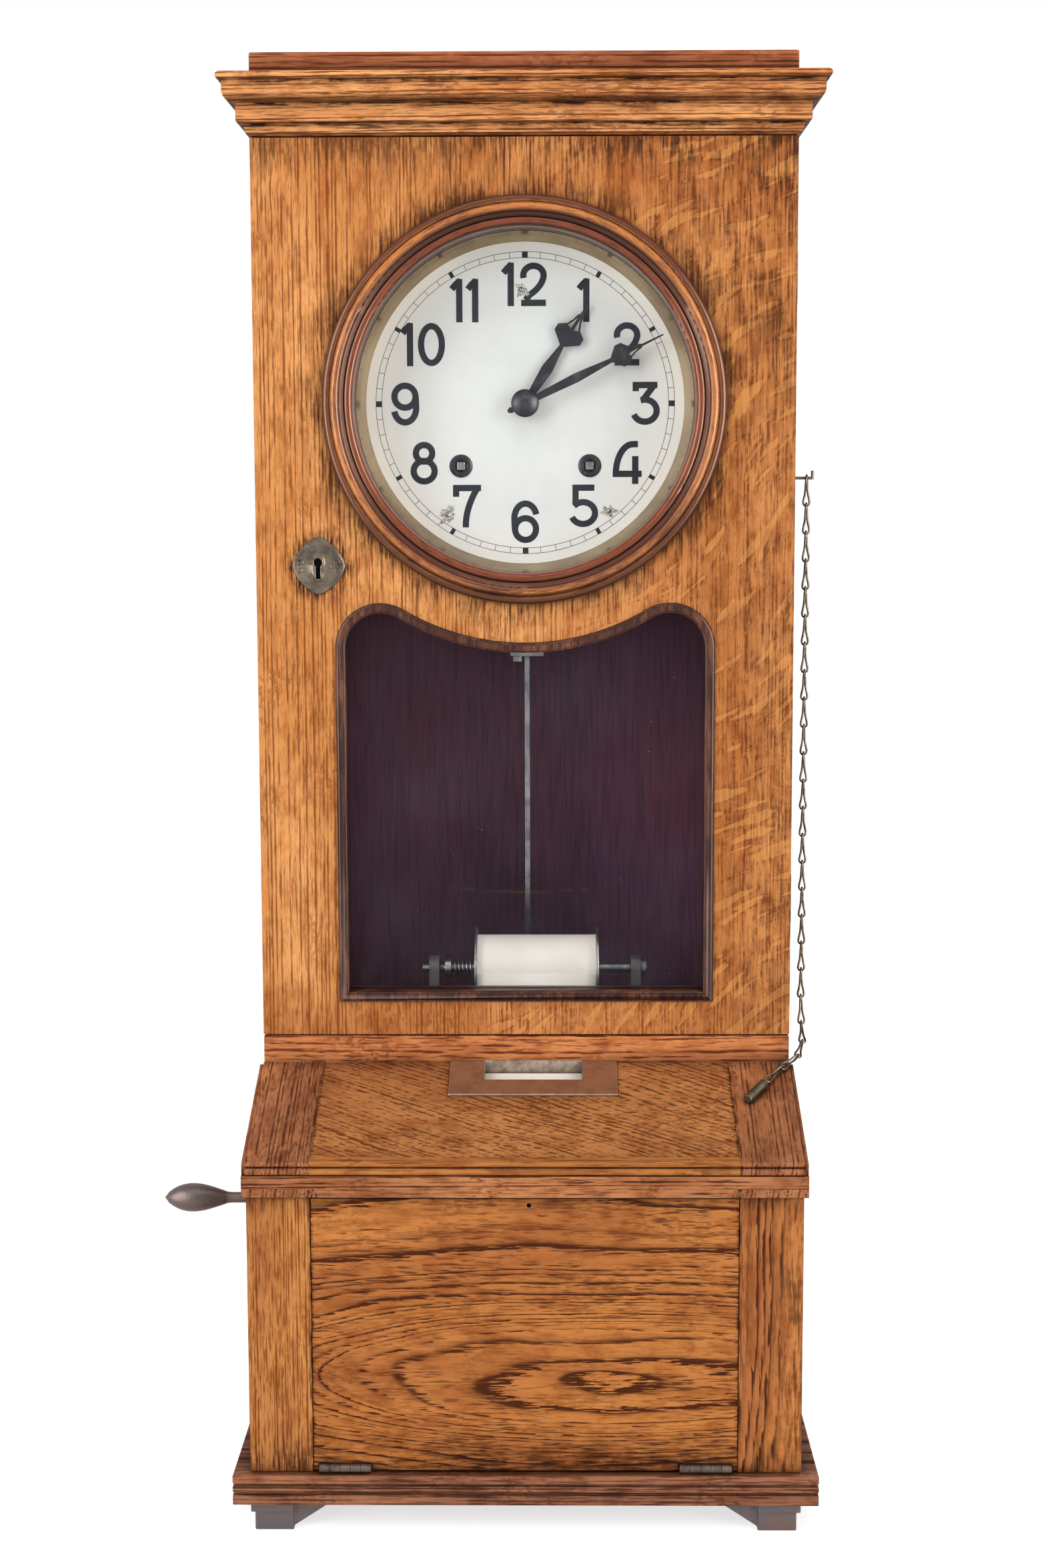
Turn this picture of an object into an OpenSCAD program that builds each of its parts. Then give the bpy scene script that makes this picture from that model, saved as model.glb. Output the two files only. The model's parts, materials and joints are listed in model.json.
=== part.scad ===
// Oak time clock: a glazed clock case over a sloped writing desk and a lower paper box.
// Millimetres. +Z is up, the dial faces -Y, the floor is z = 0.
// The origin lies on the floor under the middle of the case's width and depth.

/* [Case] */
// Width over the case sides
case_w = 360; // [330:1:400]
// Depth from the front of the base to the back
case_d = 300; // [280:1:330]
// Depth of the upper case, from the front of its door to the back
upper_d = 185; // [180:1:195]
// Thickness of the side boards
side_t = 18; // [14:1:22]
// Thickness of the back board
back_t = 10; // [6:1:14]
// Height of the lower box, from the base to the desk
box_h = 185.5; // [180:0.5:200]
// Thickness of the stiles and of the fall front
front_t = 18; // [16:1:20]
// Width of a lower stile
stile_w = 41.5; // [36:0.5:48]
// Thickness of the top board
top_t = 15; // [12:1:20]
// Height of the cornice
cornice_h = 39.5; // [36:0.5:44]

/* [Base] */
// Height of the feet
foot_h = 20.5; // [16:0.5:26]
// Width of a foot
foot_w = 28; // [24:1:36]
// Thickness of the base plate
base_t = 20; // [16:1:24]
// How far the base stands out at each side
base_over_x = 11; // [8:0.5:14]
// How far the base stands out in front
base_over_y = 6.5; // [5.5:0.5:9]

/* [Desk] */
// Height of the desk's front edge
desk_edge_h = 23; // [20:0.5:26]
// Rise of the writing slope
desk_rise = 39.5; // [36:0.5:44]
// Thickness of the desk board
desk_t = 10; // [9:0.5:12]
// How far the desk stands out at each side
desk_over = 2.7; // [1.5:0.1:3]
// Height of the apron rail above the desk
apron_h = 19; // [16:0.5:24]
// Width of the writing slot
slot_w = 67.5; // [60:0.5:70]
// Length of the writing slot down the slope
slot_run = 21.7; // [18:0.1:24]
// Width of the slot's plate
plate_w = 114; // [100:1:120]
// Length of the slot's plate down the slope
plate_run = 38.5; // [34:0.5:44]
// Sideways place of the slot and the paper
paper_x = 5; // [0:0.5:8]

/* [Door] */
// Height of the upper door
door_h = 600; // [590:1:620]
// Thickness of the upper door
door_t = 22; // [20:0.5:24]
// Width of the window's opening
window_w = 254.6; // [244:0.2:262]
// Height of the window's sill above the bottom of the door
window_sill = 23; // [20:0.5:30]
// Radius of the arch over the window, about the dial's middle
arch_r = 160.5; // [157:0.5:164]
// Radius of the window's upper corners
corner_r = 30; // [26:1:34]
// Width of the window's moulding
bead_w = 6.5; // [5.5:0.1:8]
// Outer radius of the turned dial ring
ring_r = 134.2; // [132:0.1:137]
// Inner radius of the turned dial ring
ring_in_r = 114; // [113.5:0.1:115]

/* [Clock] */
// Distance from the top of the door down to the dial's middle
dial_down = 171.5; // [168:0.5:180]
// Radius of the dial plate
dial_r = 117; // [116:0.5:118]
// Visible radius of the dial
sight_r = 108.5; // [107:0.5:110]
// Length of the minute hand
minute_len = 104; // [95:1:105]
// Length of the hour hand
hour_len = 79; // [74:1:82]
// Length of the pendulum, from its pivot to the middle of the bob
pendulum_len = 500; // [490:1:505]
// Radius of the pendulum bob
bob_r = 26; // [22:1:30]

/* [Recorder] */
// Radius of the paper on the supply roll
roll_r = 23.5; // [20:0.5:25]
// Radius of the supply roll's flanges
flange_r = 28.8; // [27:0.2:30]
// Width of the paper
paper_w = 84; // [80:1:88]
// Radius of the paper on the take-up spool
wound_r = 18; // [14:0.5:22]
// Radius of the lever's shaft
shaft_r = 6; // [5:0.25:7]
// Distance from the shaft to the lever's handle
lever_len = 62; // [54:1:70]
// Length of the handle
handle_len = 67; // [55:1:75]
// Greatest radius of the handle
handle_r = 10; // [8:0.5:12]

/* [Chain] */
// Pitch of the chain's links
link_pitch = 19; // [17:0.5:21]
// Number of links that hang straight
hanging_links = 19; // [12:1:20]
// Radius of the chain's wire
link_wire = 0.8; // [0.6:0.05:0.9]

/* [Fits] */
// Radial clearance of a running fit
run_fit = 0.05; // [0.02:0.01:0.1]
// Gap between the upper door and the case behind it
door_gap = 0.5; // [0.4:0.1:1]
// Gap around a door or a loose panel
panel_gap = 0.4; // [0.3:0.1:0.8]

/* [Hidden] */
$fn = 64;
EPS = 0.01;

// Planes of the case, front to back
y_back = case_d / 2;
y_base = -case_d / 2;
y_box = y_base + base_over_y;
y_door = y_back - upper_d;
y_door_back = y_door + door_t;
y_side = y_door_back + door_gap;
y_panel = y_back - back_t;
x_in = case_w / 2 - side_t;

// Levels of the case, floor to top
z_base = foot_h + base_t;
z_box = z_base + box_h;
z_desk = z_box + desk_edge_h;
z_apron = z_desk + desk_rise;
z_rail = z_apron + apron_h;
z_door = z_rail + panel_gap;
z_cornice = z_door + door_h + panel_gap;
z_cap = z_cornice + cornice_h;
z_dial = z_door + door_h - dial_down;

// The writing slope, from the apron down to the bead at the front
bead_r = 4.5;
upper_r = bead_r * 0.45;
lower_r = bead_r - upper_r;
y_bead = y_box + 0.5;
desk_angle = atan(desk_rise / (y_door - y_bead));
function slope_z(y) = z_apron + (y - y_door) * tan(desk_angle);
function below_slope(y, d) = slope_z(y) - d / cos(desk_angle);
y_desk_rail = y_box + front_t;
y_desk_front = y_bead + bead_r;
z_quirk = z_desk - 2 * bead_r;
x_panel = case_w / 2 - stile_w;

// Basic shapes between two corners or two ends
module box(a, b) {
    translate(a) cube(b - a);
}

module xcyl(r, x0, x1, y, z) {
    translate([x0, y, z]) rotate([0, 90, 0]) cylinder(r = r, h = x1 - x0);
}

module ycyl(r, y0, y1, x, z) {
    translate([x, y1, z]) rotate([90, 0, 0]) cylinder(r = r, h = y1 - y0);
}

module zcyl(r, z0, z1, x, y) {
    translate([x, y, z0]) cylinder(r = r, h = z1 - z0);
}

// A flat outline in Y and Z, drawn out along X
module yz(x0, x1) {
    translate([x0, 0, 0]) rotate([90, 0, 90]) linear_extrude(x1 - x0) children();
}

// A flat outline in X and Z, drawn out along Y
module xz(y0, y1) {
    translate([0, y1, 0]) rotate([90, 0, 0]) linear_extrude(y1 - y0) children();
}

// An outline of radius and distance forward, turned about an axis along Y
module turned(x, z) {
    translate([x, 0, z]) rotate([90, 0, 0]) rotate_extrude() children();
}

module both_sides() {
    children();
    mirror([1, 0, 0]) children();
}

// Butt hinge about X at the origin, leaves running back, knuckles counted from the left
hinge_l = 34;
hinge_t = 1;
knuckle_n = 5;
seat_l = hinge_l / 2 + 0.3;
function is_door_knuckle(i) = i % 2 == 1;

module hinge_half(r, leaf, leaf_z, for_door, pin_r) {
    step = hinge_l / knuckle_n;
    slack = 0.15;
    difference() {
        union() {
            box([-hinge_l / 2, r + 0.4, leaf_z], [hinge_l / 2, leaf, leaf_z + hinge_t]);
            for (i = [0 : knuckle_n - 1])
                if (is_door_knuckle(i) == for_door) {
                    x0 = -hinge_l / 2 + i * step + slack;
                    xcyl(r, x0, x0 + step - 2 * slack, 0, 0);
                    box([x0, 0, leaf_z], [x0 + step - 2 * slack, r + 0.5, leaf_z + hinge_t]);
                }
        }
        xcyl(pin_r + run_fit, -hinge_l, hinge_l, 0, 0);
    }
}

// Fall front hinges: axis in front of the panel, just above the base
fall_knuckle_r = 3;
fall_pin_r = 1.4;
y_fall_axis = y_box - 1.5;
z_fall_axis = z_base + fall_knuckle_r + 0.2;
fall_leaf = 17;
hinge_inset = 4;
fall_x = x_panel - hinge_inset - hinge_l / 2;
z_fall = z_base + 1.5;

// Upper door hinges: axis upright at the right edge, in the gap behind the door
door_knuckle_r = 2.2;
door_pin_r = 1;
x_door_axis = case_w / 2 + 0.2;
y_door_axis = y_door_back + door_gap / 2;
door_leaf = 14;
door_hinge_z = [z_door + 90, z_door + door_h - 90];

module at_fall_hinges() {
    for (s = [-1, 1])
        translate([s * fall_x, y_fall_axis, z_fall_axis]) children();
}

module at_door_hinges() {
    for (z = door_hinge_z)
        translate([x_door_axis, y_door_axis, z]) rotate([0, 90, 90]) children();
}

// Base and feet
groove = 1.5;

module base_plate() {
    half = case_w / 2 + base_over_x;
    color("#8a5a2b") difference() {
        box([-half, y_base, foot_h], [half, y_back, z_base]);
        for (z = [foot_h + base_t * 0.35, foot_h + base_t * 0.64])
            difference() {
                box([-half - 1, y_base - 1, z], [half + 1, y_back + 1, z + groove]);
                box([-half + groove, y_base + groove, z - 1], [half - groove, y_back + 2, z + groove + 1]);
            }
    }
}

foot_d = 34;
foot_step = 2.5;

module foot(front) {
    y0 = front ? y_box - 0.5 : y_back - foot_d - 4;
    x1 = case_w / 2;
    box([x1 - foot_w, y0, foot_h * 0.64], [x1, y0 + foot_d, foot_h]);
    box([x1 - foot_w, y0 + foot_step, 0], [x1 - foot_step, y0 + foot_d - foot_step, foot_h * 0.65]);
}

module foot_wing() {
    x1 = case_w / 2 - foot_w;
    xz(y_box + 4, y_box + 14) polygon([[x1 - foot_w, foot_h], [x1, foot_h], [x1, 2]]);
}

module feet() {
    color("#3a3a3c") both_sides() {
        foot(true);
        foot(false);
        foot_wing();
    }
}

// Case boards
lock_drop = 108.5;
lock_z = z_dial - lock_drop;
lock_depth = 9;
bolt_h = 10;
bolt_t = 4;
bush_r = 9;
shaft_back = 95;
shaft_drop = 30;
y_shaft = y_back - shaft_back;
z_shaft = z_box - shaft_drop;
hook_y = y_side + 20.5;
hook_shank_r = 1.5;
hook_shank_l = 12;

module side_outline() {
    y0 = y_box + front_t;
    polygon([
        [y0, z_base],
        [y0, below_slope(y0, desk_t)],
        [y_side, below_slope(y_side, desk_t)],
        [y_side, z_cap],
        [y_back, z_cap],
        [y_back, z_base]
    ]);
}

module hinge_seats() {
    at_door_hinges() {
        box([-seat_l, 0, door_gap / 2 - EPS], [seat_l, door_leaf + 0.3, door_gap / 2 + hinge_t]);
        xcyl(door_knuckle_r + 0.4, -seat_l, seat_l, 0, 0);
    }
}

module left_side() {
    color("#a8692c") difference() {
        yz(-case_w / 2, -x_in) side_outline();
        xcyl(bush_r + run_fit, -case_w / 2 - 1, -x_in + 1, y_shaft, z_shaft);
        box([-x_in - 8, y_door_back + 1, lock_z - bolt_h],
            [-x_in + 1, y_door_back + lock_depth, lock_z + bolt_h]);
    }
}

module right_side() {
    color("#a8692c") difference() {
        yz(x_in, case_w / 2) side_outline();
        hinge_seats();
        xcyl(hook_shank_r + run_fit, case_w / 2 - hook_shank_l - 0.5, case_w / 2 + 1, hook_y, hook_z);
    }
}

wall_hole_r = 3.5;
wall_hole_x = 100;
wall_hole_z = z_cap - 60;

module back_panel() {
    color("#2b1a1c") difference() {
        box([-x_in, y_panel, z_base], [x_in, y_back, z_cap]);
        for (s = [-1, 1])
            ycyl(wall_hole_r, y_panel - 1, y_back + 1, s * wall_hole_x, wall_hole_z);
    }
}

module top_board() {
    color("#9a5f28") box([-case_w / 2, y_door + 2, z_cap], [case_w / 2, y_back, z_cap + top_t]);
}

// Rail over the door and apron rail under it
module front_rails() {
    color("#9a5f28") {
        box([-case_w / 2, y_door, z_cornice], [case_w / 2, y_side, z_cap]);
        yz(-case_w / 2, case_w / 2) polygon([
            [y_door, below_slope(y_door, desk_t)],
            [y_side, below_slope(y_side, desk_t)],
            [y_side, z_rail],
            [y_door, z_rail]
        ]);
    }
}

// Cornice, drawn as projection and height above its foot
lip_out = 19.6;
fascia_out = 16;
frieze_out = 8;
foot_out = 2.5;

module cornice_profile() {
    h = cornice_h;
    z_frieze = h * 0.2;
    z_ovolo = h * 0.52;
    z_fascia = h * 0.7;
    z_lip = h - 5.5;
    ovolo = z_fascia - z_ovolo;
    polygon([[0, 2], [foot_out, 2], [foot_out + 1, z_frieze], [0, z_frieze]]);
    translate([0, z_frieze]) square([frieze_out - 2, z_ovolo - z_frieze]);
    translate([0, z_frieze + 2]) square([frieze_out, z_ovolo - z_frieze - 2]);
    translate([frieze_out - 2, z_frieze + 2]) circle(2);
    translate([0, z_ovolo]) square([fascia_out - ovolo, ovolo]);
    intersection() {
        translate([fascia_out - ovolo, z_fascia]) circle(ovolo);
        translate([0, z_ovolo]) square([fascia_out, ovolo]);
    }
    translate([0, z_fascia]) square([fascia_out, h - z_fascia]);
    translate([0, z_lip]) square([lip_out - 2.75, h - z_lip]);
    translate([lip_out - 2.75, z_lip + 2.75]) circle(2.75);
}

module corner_half(sign) {
    far = case_w + case_d;
    translate([case_w / 2, y_door, 0]) rotate([0, 0, 45])
        translate([sign > 0 ? 0 : -far, -far, 0]) cube([far, 2 * far, z_cap + 1]);
}

// Three lengths, mitred at the front corners
module cornice() {
    color("#94591f") {
        difference() {
            translate([0, y_door, z_cornice]) mirror([0, 1, 0])
                yz(-case_w / 2 - lip_out, case_w / 2 + lip_out) cornice_profile();
            both_sides() corner_half(1);
        }
        both_sides() difference() {
            translate([case_w / 2, 0, z_cornice]) xz(y_door - lip_out, y_back) cornice_profile();
            corner_half(-1);
        }
    }
}

// Desk
module slope_slab(y0, y1, d0, d1) {
    polygon([
        [y0, below_slope(y0, d0)],
        [y1, below_slope(y1, d0)],
        [y1, below_slope(y1, d1)],
        [y0, below_slope(y0, d1)]
    ]);
}

module slot_cut() {
    x0 = paper_x - slot_w / 2;
    box([x0, y_door - slot_run, z_desk], [x0 + slot_w, y_door + 1, z_apron + desk_rise]);
}

module desk_board() {
    color("#a06428") difference() {
        yz(-x_panel, x_panel) slope_slab(y_desk_front, y_door, desk_t, 0);
        slot_cut();
    }
}

// The desk's moulded front edge: a small round over a fuller one that stands out
module nose_rounds() {
    translate([y_bead, z_desk - upper_r]) circle(upper_r);
    translate([y_bead - lower_r / 2, z_quirk + lower_r]) circle(lower_r);
}

module nosed_slab(y1) {
    polygon([
        [y1, below_slope(y1, desk_t)],
        [y1, slope_z(y1)],
        [y_bead, z_desk],
        [y_bead, z_quirk + 2 * lower_r],
        [y_bead - lower_r / 2, z_quirk + 2 * lower_r],
        [y_bead - lower_r / 2, z_quirk],
        [y_bead, z_quirk],
        [y_bead, below_slope(y_bead, desk_t)]
    ]);
    nose_rounds();
}

// Cleats run to the front and carry the moulded edge round to the ends
module desk_cleats() {
    edge = case_w / 2 + desk_over;
    color("#7a4520") both_sides() {
        yz(x_panel, edge - desk_t / 4) nosed_slab(y_door);
        yz(edge - desk_t / 4, edge) slope_slab(y_bead, y_door, desk_t * 0.85, desk_t * 0.15);
    }
}

// Rail under the front of the desk, rebated at its ends for the cleats
module desk_rail() {
    edge = case_w / 2 + desk_over;
    color("#8f5a26") {
        yz(-x_panel, x_panel) {
            polygon([
                [y_desk_rail, z_box],
                [y_desk_rail, below_slope(y_desk_rail, desk_t)],
                [y_desk_front, below_slope(y_desk_front, desk_t)],
                [y_desk_front, slope_z(y_desk_front)],
                [y_bead, z_desk],
                [y_bead, z_quirk + 2 * lower_r],
                [y_bead - lower_r / 2, z_quirk + 2 * lower_r],
                [y_bead - lower_r / 2, z_quirk],
                [y_bead - 3.5, z_quirk],
                [y_bead - 3.5, z_box]
            ]);
            nose_rounds();
        }
        both_sides() yz(x_panel, edge) polygon([
            [y_desk_rail, z_box],
            [y_desk_rail, below_slope(y_desk_rail, desk_t)],
            [y_bead, below_slope(y_bead, desk_t)],
            [y_bead, z_quirk],
            [y_bead - 3.5, z_quirk],
            [y_bead - 3.5, z_box]
        ]);
    }
}

plate_t = 1.2;

module slot_plate() {
    x0 = paper_x - plate_w / 2;
    color("#6e4630") difference() {
        yz(x0, x0 + plate_w) slope_slab(y_door - plate_run, y_door, 0, -plate_t);
        slot_cut();
    }
}

module lower_stiles() {
    color("#a8692c") both_sides()
        box([x_panel, y_box, z_base], [case_w / 2, y_box + front_t, z_box]);
}

// Fall front and its hinges
pull_hole_r = 1.4;

module fall_front() {
    color("#a5652a") difference() {
        box([-x_panel + panel_gap, y_box, z_fall], [x_panel - panel_gap, y_box + front_t, z_box - 1.5]);
        at_fall_hinges() {
            xcyl(fall_knuckle_r + 0.4, -hinge_l / 2 - 0.5, hinge_l / 2 + 0.5, 0, 0);
            box([-seat_l, 0, -fall_knuckle_r], [seat_l, fall_leaf + 0.3, fall_leaf_top]);
        }
        ycyl(pull_hole_r, y_box - 1, y_box + front_t + 1, 2.7, z_box - 6);
    }
}

fall_leaf_top = z_base + 2.6 - z_fall_axis;

module fall_hinge_plates() {
    color("#4a4036") at_fall_hinges()
        hinge_half(fall_knuckle_r, fall_leaf, fall_leaf_top - hinge_t, true, fall_pin_r);
}

// Upper door
module window_outline(inset) {
    w = window_w / 2 - inset;
    r = arch_r + inset;
    c = corner_r - inset;
    z0 = z_door + window_sill + inset;
    cx = w - c;
    cz = z_dial - sqrt(pow(r + c, 2) - cx * cx);
    tx = cx * r / (r + c);
    tz = z_dial - (z_dial - cz) * r / (r + c);
    difference() {
        union() {
            translate([-w, z0]) square([2 * w, cz - z0]);
            for (s = [-1, 1])
                translate([s * cx, cz]) circle(c);
            polygon([[-cx, cz - 1], [cx, cz - 1], [cx, cz], [tx, tz], [-tx, tz], [-cx, cz]]);
        }
        translate([0, z_dial]) circle(r, $fn = 180);
    }
}

glass_t = 3;
y_glass = y_door + 13;
ring_sleeve = 3.8;
hole_r = ring_in_r + ring_sleeve;

module door_panel() {
    color("#b07030") difference() {
        box([-case_w / 2, y_door, z_door], [case_w / 2, y_door_back, z_door + door_h]);
        ycyl(hole_r + run_fit, y_door - 1, y_door_back + 1, 0, z_dial);
        xz(y_door - 1, y_door_back + 1) window_outline(0);
        ycyl(4, y_door - 1, y_door_back + 1, -lock_x, lock_z);
        at_door_hinges() {
            box([-seat_l, 0, -door_gap / 2 - hinge_t], [seat_l, door_leaf + 0.3, EPS]);
            xcyl(door_knuckle_r + 0.4, -seat_l, seat_l, 0, 0);
        }
    }
}

module ring_profile() {
    f0 = -y_door;
    band = ring_r - ring_in_r;
    roll = band * 0.16;
    translate([ring_in_r, -y_glass]) square([ring_sleeve, y_glass - y_door + 4]);
    translate([ring_in_r, f0]) square([band - roll, 4]);
    translate([ring_in_r + band * 0.3, f0]) square([band * 0.7 - 2 * roll, 6.5]);
    translate([ring_r - roll, f0]) square([roll, roll]);
    translate([ring_r - roll, f0 + roll]) circle(roll);
    translate([ring_r - 2.6 * roll, f0 + 6]) circle(roll);
    translate([ring_in_r + roll, f0 + 3.4]) circle(roll);
}

// Turned ring in front, and the ring behind that holds the dial glass
module dial_ring() {
    color("#5a2c18") turned(0, z_dial) {
        ring_profile();
        translate([ring_in_r, -y_door_back]) square([ring_sleeve, y_door_back - y_glass - glass_t]);
    }
}

// Front moulding round the window, and the bead that holds its glass from behind
module window_moulding() {
    color("#55291a") {
        xz(y_door - 0.6, y_glass) difference() {
            window_outline(run_fit);
            window_outline(bead_w);
        }
        xz(y_door - 2, y_door - 0.6) difference() {
            window_outline(bead_w * 0.25);
            window_outline(bead_w * 0.8);
        }
        xz(y_glass + glass_t, y_door_back) difference() {
            window_outline(run_fit);
            window_outline(bead_w);
        }
    }
}

module door_glass() {
    color("#9fb4c4", 0.3) {
        xz(y_glass, y_glass + glass_t) window_outline(run_fit);
        ycyl(hole_r, y_glass, y_glass + glass_t, 0, z_dial);
    }
}

lock_in = 42;
lock_x = case_w / 2 - lock_in;
plate_half_w = 18.5;
plate_half_h = 21;

module escutcheon() {
    color("#6b5a32") difference() {
        xz(y_door - 1.5, y_door) translate([-lock_x, lock_z]) {
            polygon([[-plate_half_w, 0], [0, plate_half_h], [plate_half_w, 0], [0, -plate_half_h]]);
            circle(plate_half_w * 0.72);
        }
        ycyl(2.6, y_door - 2, y_door + 1, -lock_x, lock_z + 3);
        box([-lock_x - 1.5, y_door - 2, lock_z - 9], [-lock_x + 1.5, y_door + 1, lock_z + 2]);
    }
}

lock_x0 = -x_in + 3;
lock_x1 = -lock_x + 18;

module lock_case() {
    color("#7d6a3a") difference() {
        box([lock_x0, y_door_back, lock_z - 20], [lock_x1, y_door_back + lock_depth, lock_z + 20]);
        box([lock_x0 - 1, y_bolt - 0.3, lock_z - bolt_h / 2 - 0.3],
            [lock_x1 - 6, y_bolt + bolt_t + 0.3, lock_z + bolt_h / 2 + 0.3]);
        ycyl(4, y_door_back - 1, y_bolt, -lock_x, lock_z);
    }
}

y_bolt = y_door_back + 2.5;

module lock_bolt() {
    color("#b9a36a") box([lock_x0, y_bolt, lock_z - bolt_h / 2],
        [lock_x1 - 14, y_bolt + bolt_t, lock_z + bolt_h / 2]);
}

module door_hinge_plates() {
    color("#7d6a3a") at_door_hinges()
        hinge_half(door_knuckle_r, door_leaf, -door_gap / 2 - hinge_t, true, door_pin_r);
}

// Leaves fixed to the case, and the pins of all four hinges
module hinge_leaves() {
    color("#4a4036") {
        at_fall_hinges()
            hinge_half(fall_knuckle_r, fall_leaf, z_base - z_fall_axis, false, fall_pin_r);
        at_door_hinges()
            hinge_half(door_knuckle_r, door_leaf, door_gap / 2, false, door_pin_r);
    }
}

module hinge_pins() {
    color("#5a5046") {
        at_fall_hinges() xcyl(fall_pin_r, -hinge_l / 2, hinge_l / 2, 0, 0);
        at_door_hinges() xcyl(door_pin_r, -hinge_l / 2, hinge_l / 2, 0, 0);
    }
}

// Clock: planes of the dial, the movement and the pendulum
dial_back = 45;
dial_gap = 20;
plate_gap = 46;
pendulum_gap = 16;
plate_below = 81.5;
plate_above = 93.5;
pivot_up = 75.5;
y_dial = y_door + dial_back;
dial_t = 1.2;
y_front_plate = y_dial + dial_gap;
movement_plate_t = 2.5;
y_back_plate = y_front_plate + plate_gap;
y_pend = y_back_plate + pendulum_gap;
plate_x = 68;
z_seat = z_dial - plate_below;
z_plate_top = z_dial + plate_above;
wind_x = 44;
wind_down = 42;
z_wind = z_dial - wind_down;
wind_r = 4;
arbor_r = 1.6;
z_pivot = z_dial + pivot_up;
dial_feet = [[0, 76], [-54, -72], [57, -72]];

module dial_plate() {
    color("#ebe9e0") difference() {
        ycyl(dial_r, y_dial, y_dial + dial_t, 0, z_dial);
        ycyl(6, y_dial - 1, y_dial + 2, 0, z_dial);
        for (s = [-1, 1])
            ycyl(wind_r + 2.5, y_dial - 1, y_dial + 2, s * wind_x, z_wind);
    }
}

sight_depth = 18;

module sight_ring() {
    front = sight_r + 5.5;
    color("#8f8256") turned(0, z_dial) polygon([
        [sight_r, -y_dial],
        [front, -y_dial + sight_depth],
        [front + 1.5, -y_dial + sight_depth],
        [sight_r + 6, -y_dial]
    ]);
}

// Toothed wheel about Y: pitch radius from tooth count and module
function pitch_r(n, m) = n * m / 2;

module gear(n, m, y0, y1, x, z, turn = 0, bore = 0) {
    r = pitch_r(n, m);
    step = 360 / n;
    tip = r + 0.75 * m;
    root = r - 1.05 * m;
    translate([x, y1, z]) rotate([90, 0, 0]) rotate([0, 0, turn]) linear_extrude(y1 - y0) difference() {
        polygon([for (i = [0 : n - 1]) for (k = [[-0.27, root], [-0.1, tip], [0.1, tip], [0.27, root]])
            k[1] * [cos((i + k[0]) * step), sin((i + k[0]) * step)]]);
        if (bore > 0)
            circle(bore);
    }
}

// Motion work: cannon pinion, minute wheel with its pinion, hour wheel
cannon_n = 12;
minute_n = 36;
pinion_n = 10;
hour_n = 40;
motion_m = 1;
hour_m = motion_m * (cannon_n + minute_n) / (pinion_n + hour_n);
mesh_slack = 0.25;
motion_d = pitch_r(cannon_n + minute_n, motion_m) + mesh_slack;
stud_r = 1.5;
y_hour_wheel = y_dial + 9;
y_cannon = y_dial + 14;
wheel_t = 2.5;
y_minute_hand = y_dial - 11;
y_hour_hand = y_dial - 5;
hand_t = 1.2;
cannon_r = 3.1;
pipe_r = 4.8;

module cannon_pinion() {
    color("#b5975a") difference() {
        union() {
            gear(cannon_n, motion_m, y_cannon, y_cannon + wheel_t + 1, 0, z_dial);
            ycyl(cannon_r, y_minute_hand, y_cannon + wheel_t + 2, 0, z_dial);
        }
        ycyl(arbor_r + run_fit, y_minute_hand - 1, y_front_plate, 0, z_dial);
    }
}

module minute_wheel() {
    color("#b5975a") difference() {
        union() {
            gear(minute_n, motion_m, y_cannon + 0.5, y_cannon + 0.5 + wheel_t,
                motion_d, z_dial, 180 / minute_n);
            gear(pinion_n, hour_m, y_hour_wheel - 0.5, y_cannon + 1, motion_d, z_dial);
        }
        ycyl(stud_r + run_fit, y_dial, y_front_plate, motion_d, z_dial);
    }
}

module hour_wheel() {
    color("#b5975a") difference() {
        union() {
            gear(hour_n, hour_m, y_hour_wheel, y_hour_wheel + wheel_t, 0, z_dial, 180 / hour_n);
            ycyl(pipe_r, y_hour_hand, y_hour_wheel + wheel_t, 0, z_dial);
        }
        ycyl(cannon_r + run_fit, y_hour_hand - 1, y_front_plate, 0, z_dial);
    }
}

// Spade hand lying along +X before it is turned to the time
minute_turn = 26;
hour_turn = 57.1;

hour_neck = 46;
hour_spade = [23.5, 21];
hour_belly = 8;
hour_hub = 8;
minute_neck = 65;
minute_spade = [22, 16];
minute_belly = 6.4;
minute_tail = 13;
minute_hub = 6;
hand_neck_w = 3;
hand_tip_w = 0.9;

// Small lozenge at the end of the minute hand's tail
function tail_edge(tail) = [[-tail, 1], [-tail + 2.5, 2.2], [-tail + 5, 1]];

// One edge of a hand, from its hub to its tip; the spade has two corners and a hollow front
function hand_edge(len, neck, spade, belly) = concat(
    [[0, 2], [neck * 0.6, belly / 2], [neck, hand_neck_w / 2]],
    [for (p = [[0.28, 0.97], [0.48, 0.97], [0.63, 0.5], [0.82, 0.29], [0.98, 0.22], [1.05, 0.1]])
        [neck + p[0] * spade[0], p[1] * spade[1] / 2]],
    [[len, hand_tip_w / 2]]
);

function mirrored(points) = [for (i = [len(points) - 1 : -1 : 0]) [points[i][0], -points[i][1]]];

module spade_slit(neck, spade) {
    polygon([for (p = [[0.55, 0.11], [0.6, 0.38], [0.76, 0.22], [0.92, 0.1]])
        [neck + p[0] * spade[0], p[1] * spade[1] / 2]]);
}

module hand_outline(len, neck, spade, belly, tail = []) {
    edge = concat(tail, hand_edge(len, neck, spade, belly));
    difference() {
        polygon(concat(edge, mirrored(edge)));
        spade_slit(neck, spade);
        mirror([0, 1]) spade_slit(neck, spade);
    }
}

module hand(y, turn, hub, bore) {
    difference() {
        union() {
            xz(y, y + hand_t) translate([0, z_dial]) rotate(turn) children();
            ycyl(hub, y, y + hand_t, 0, z_dial);
        }
        ycyl(bore + run_fit, y - 1, y + hand_t + 1, 0, z_dial);
    }
}

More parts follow.
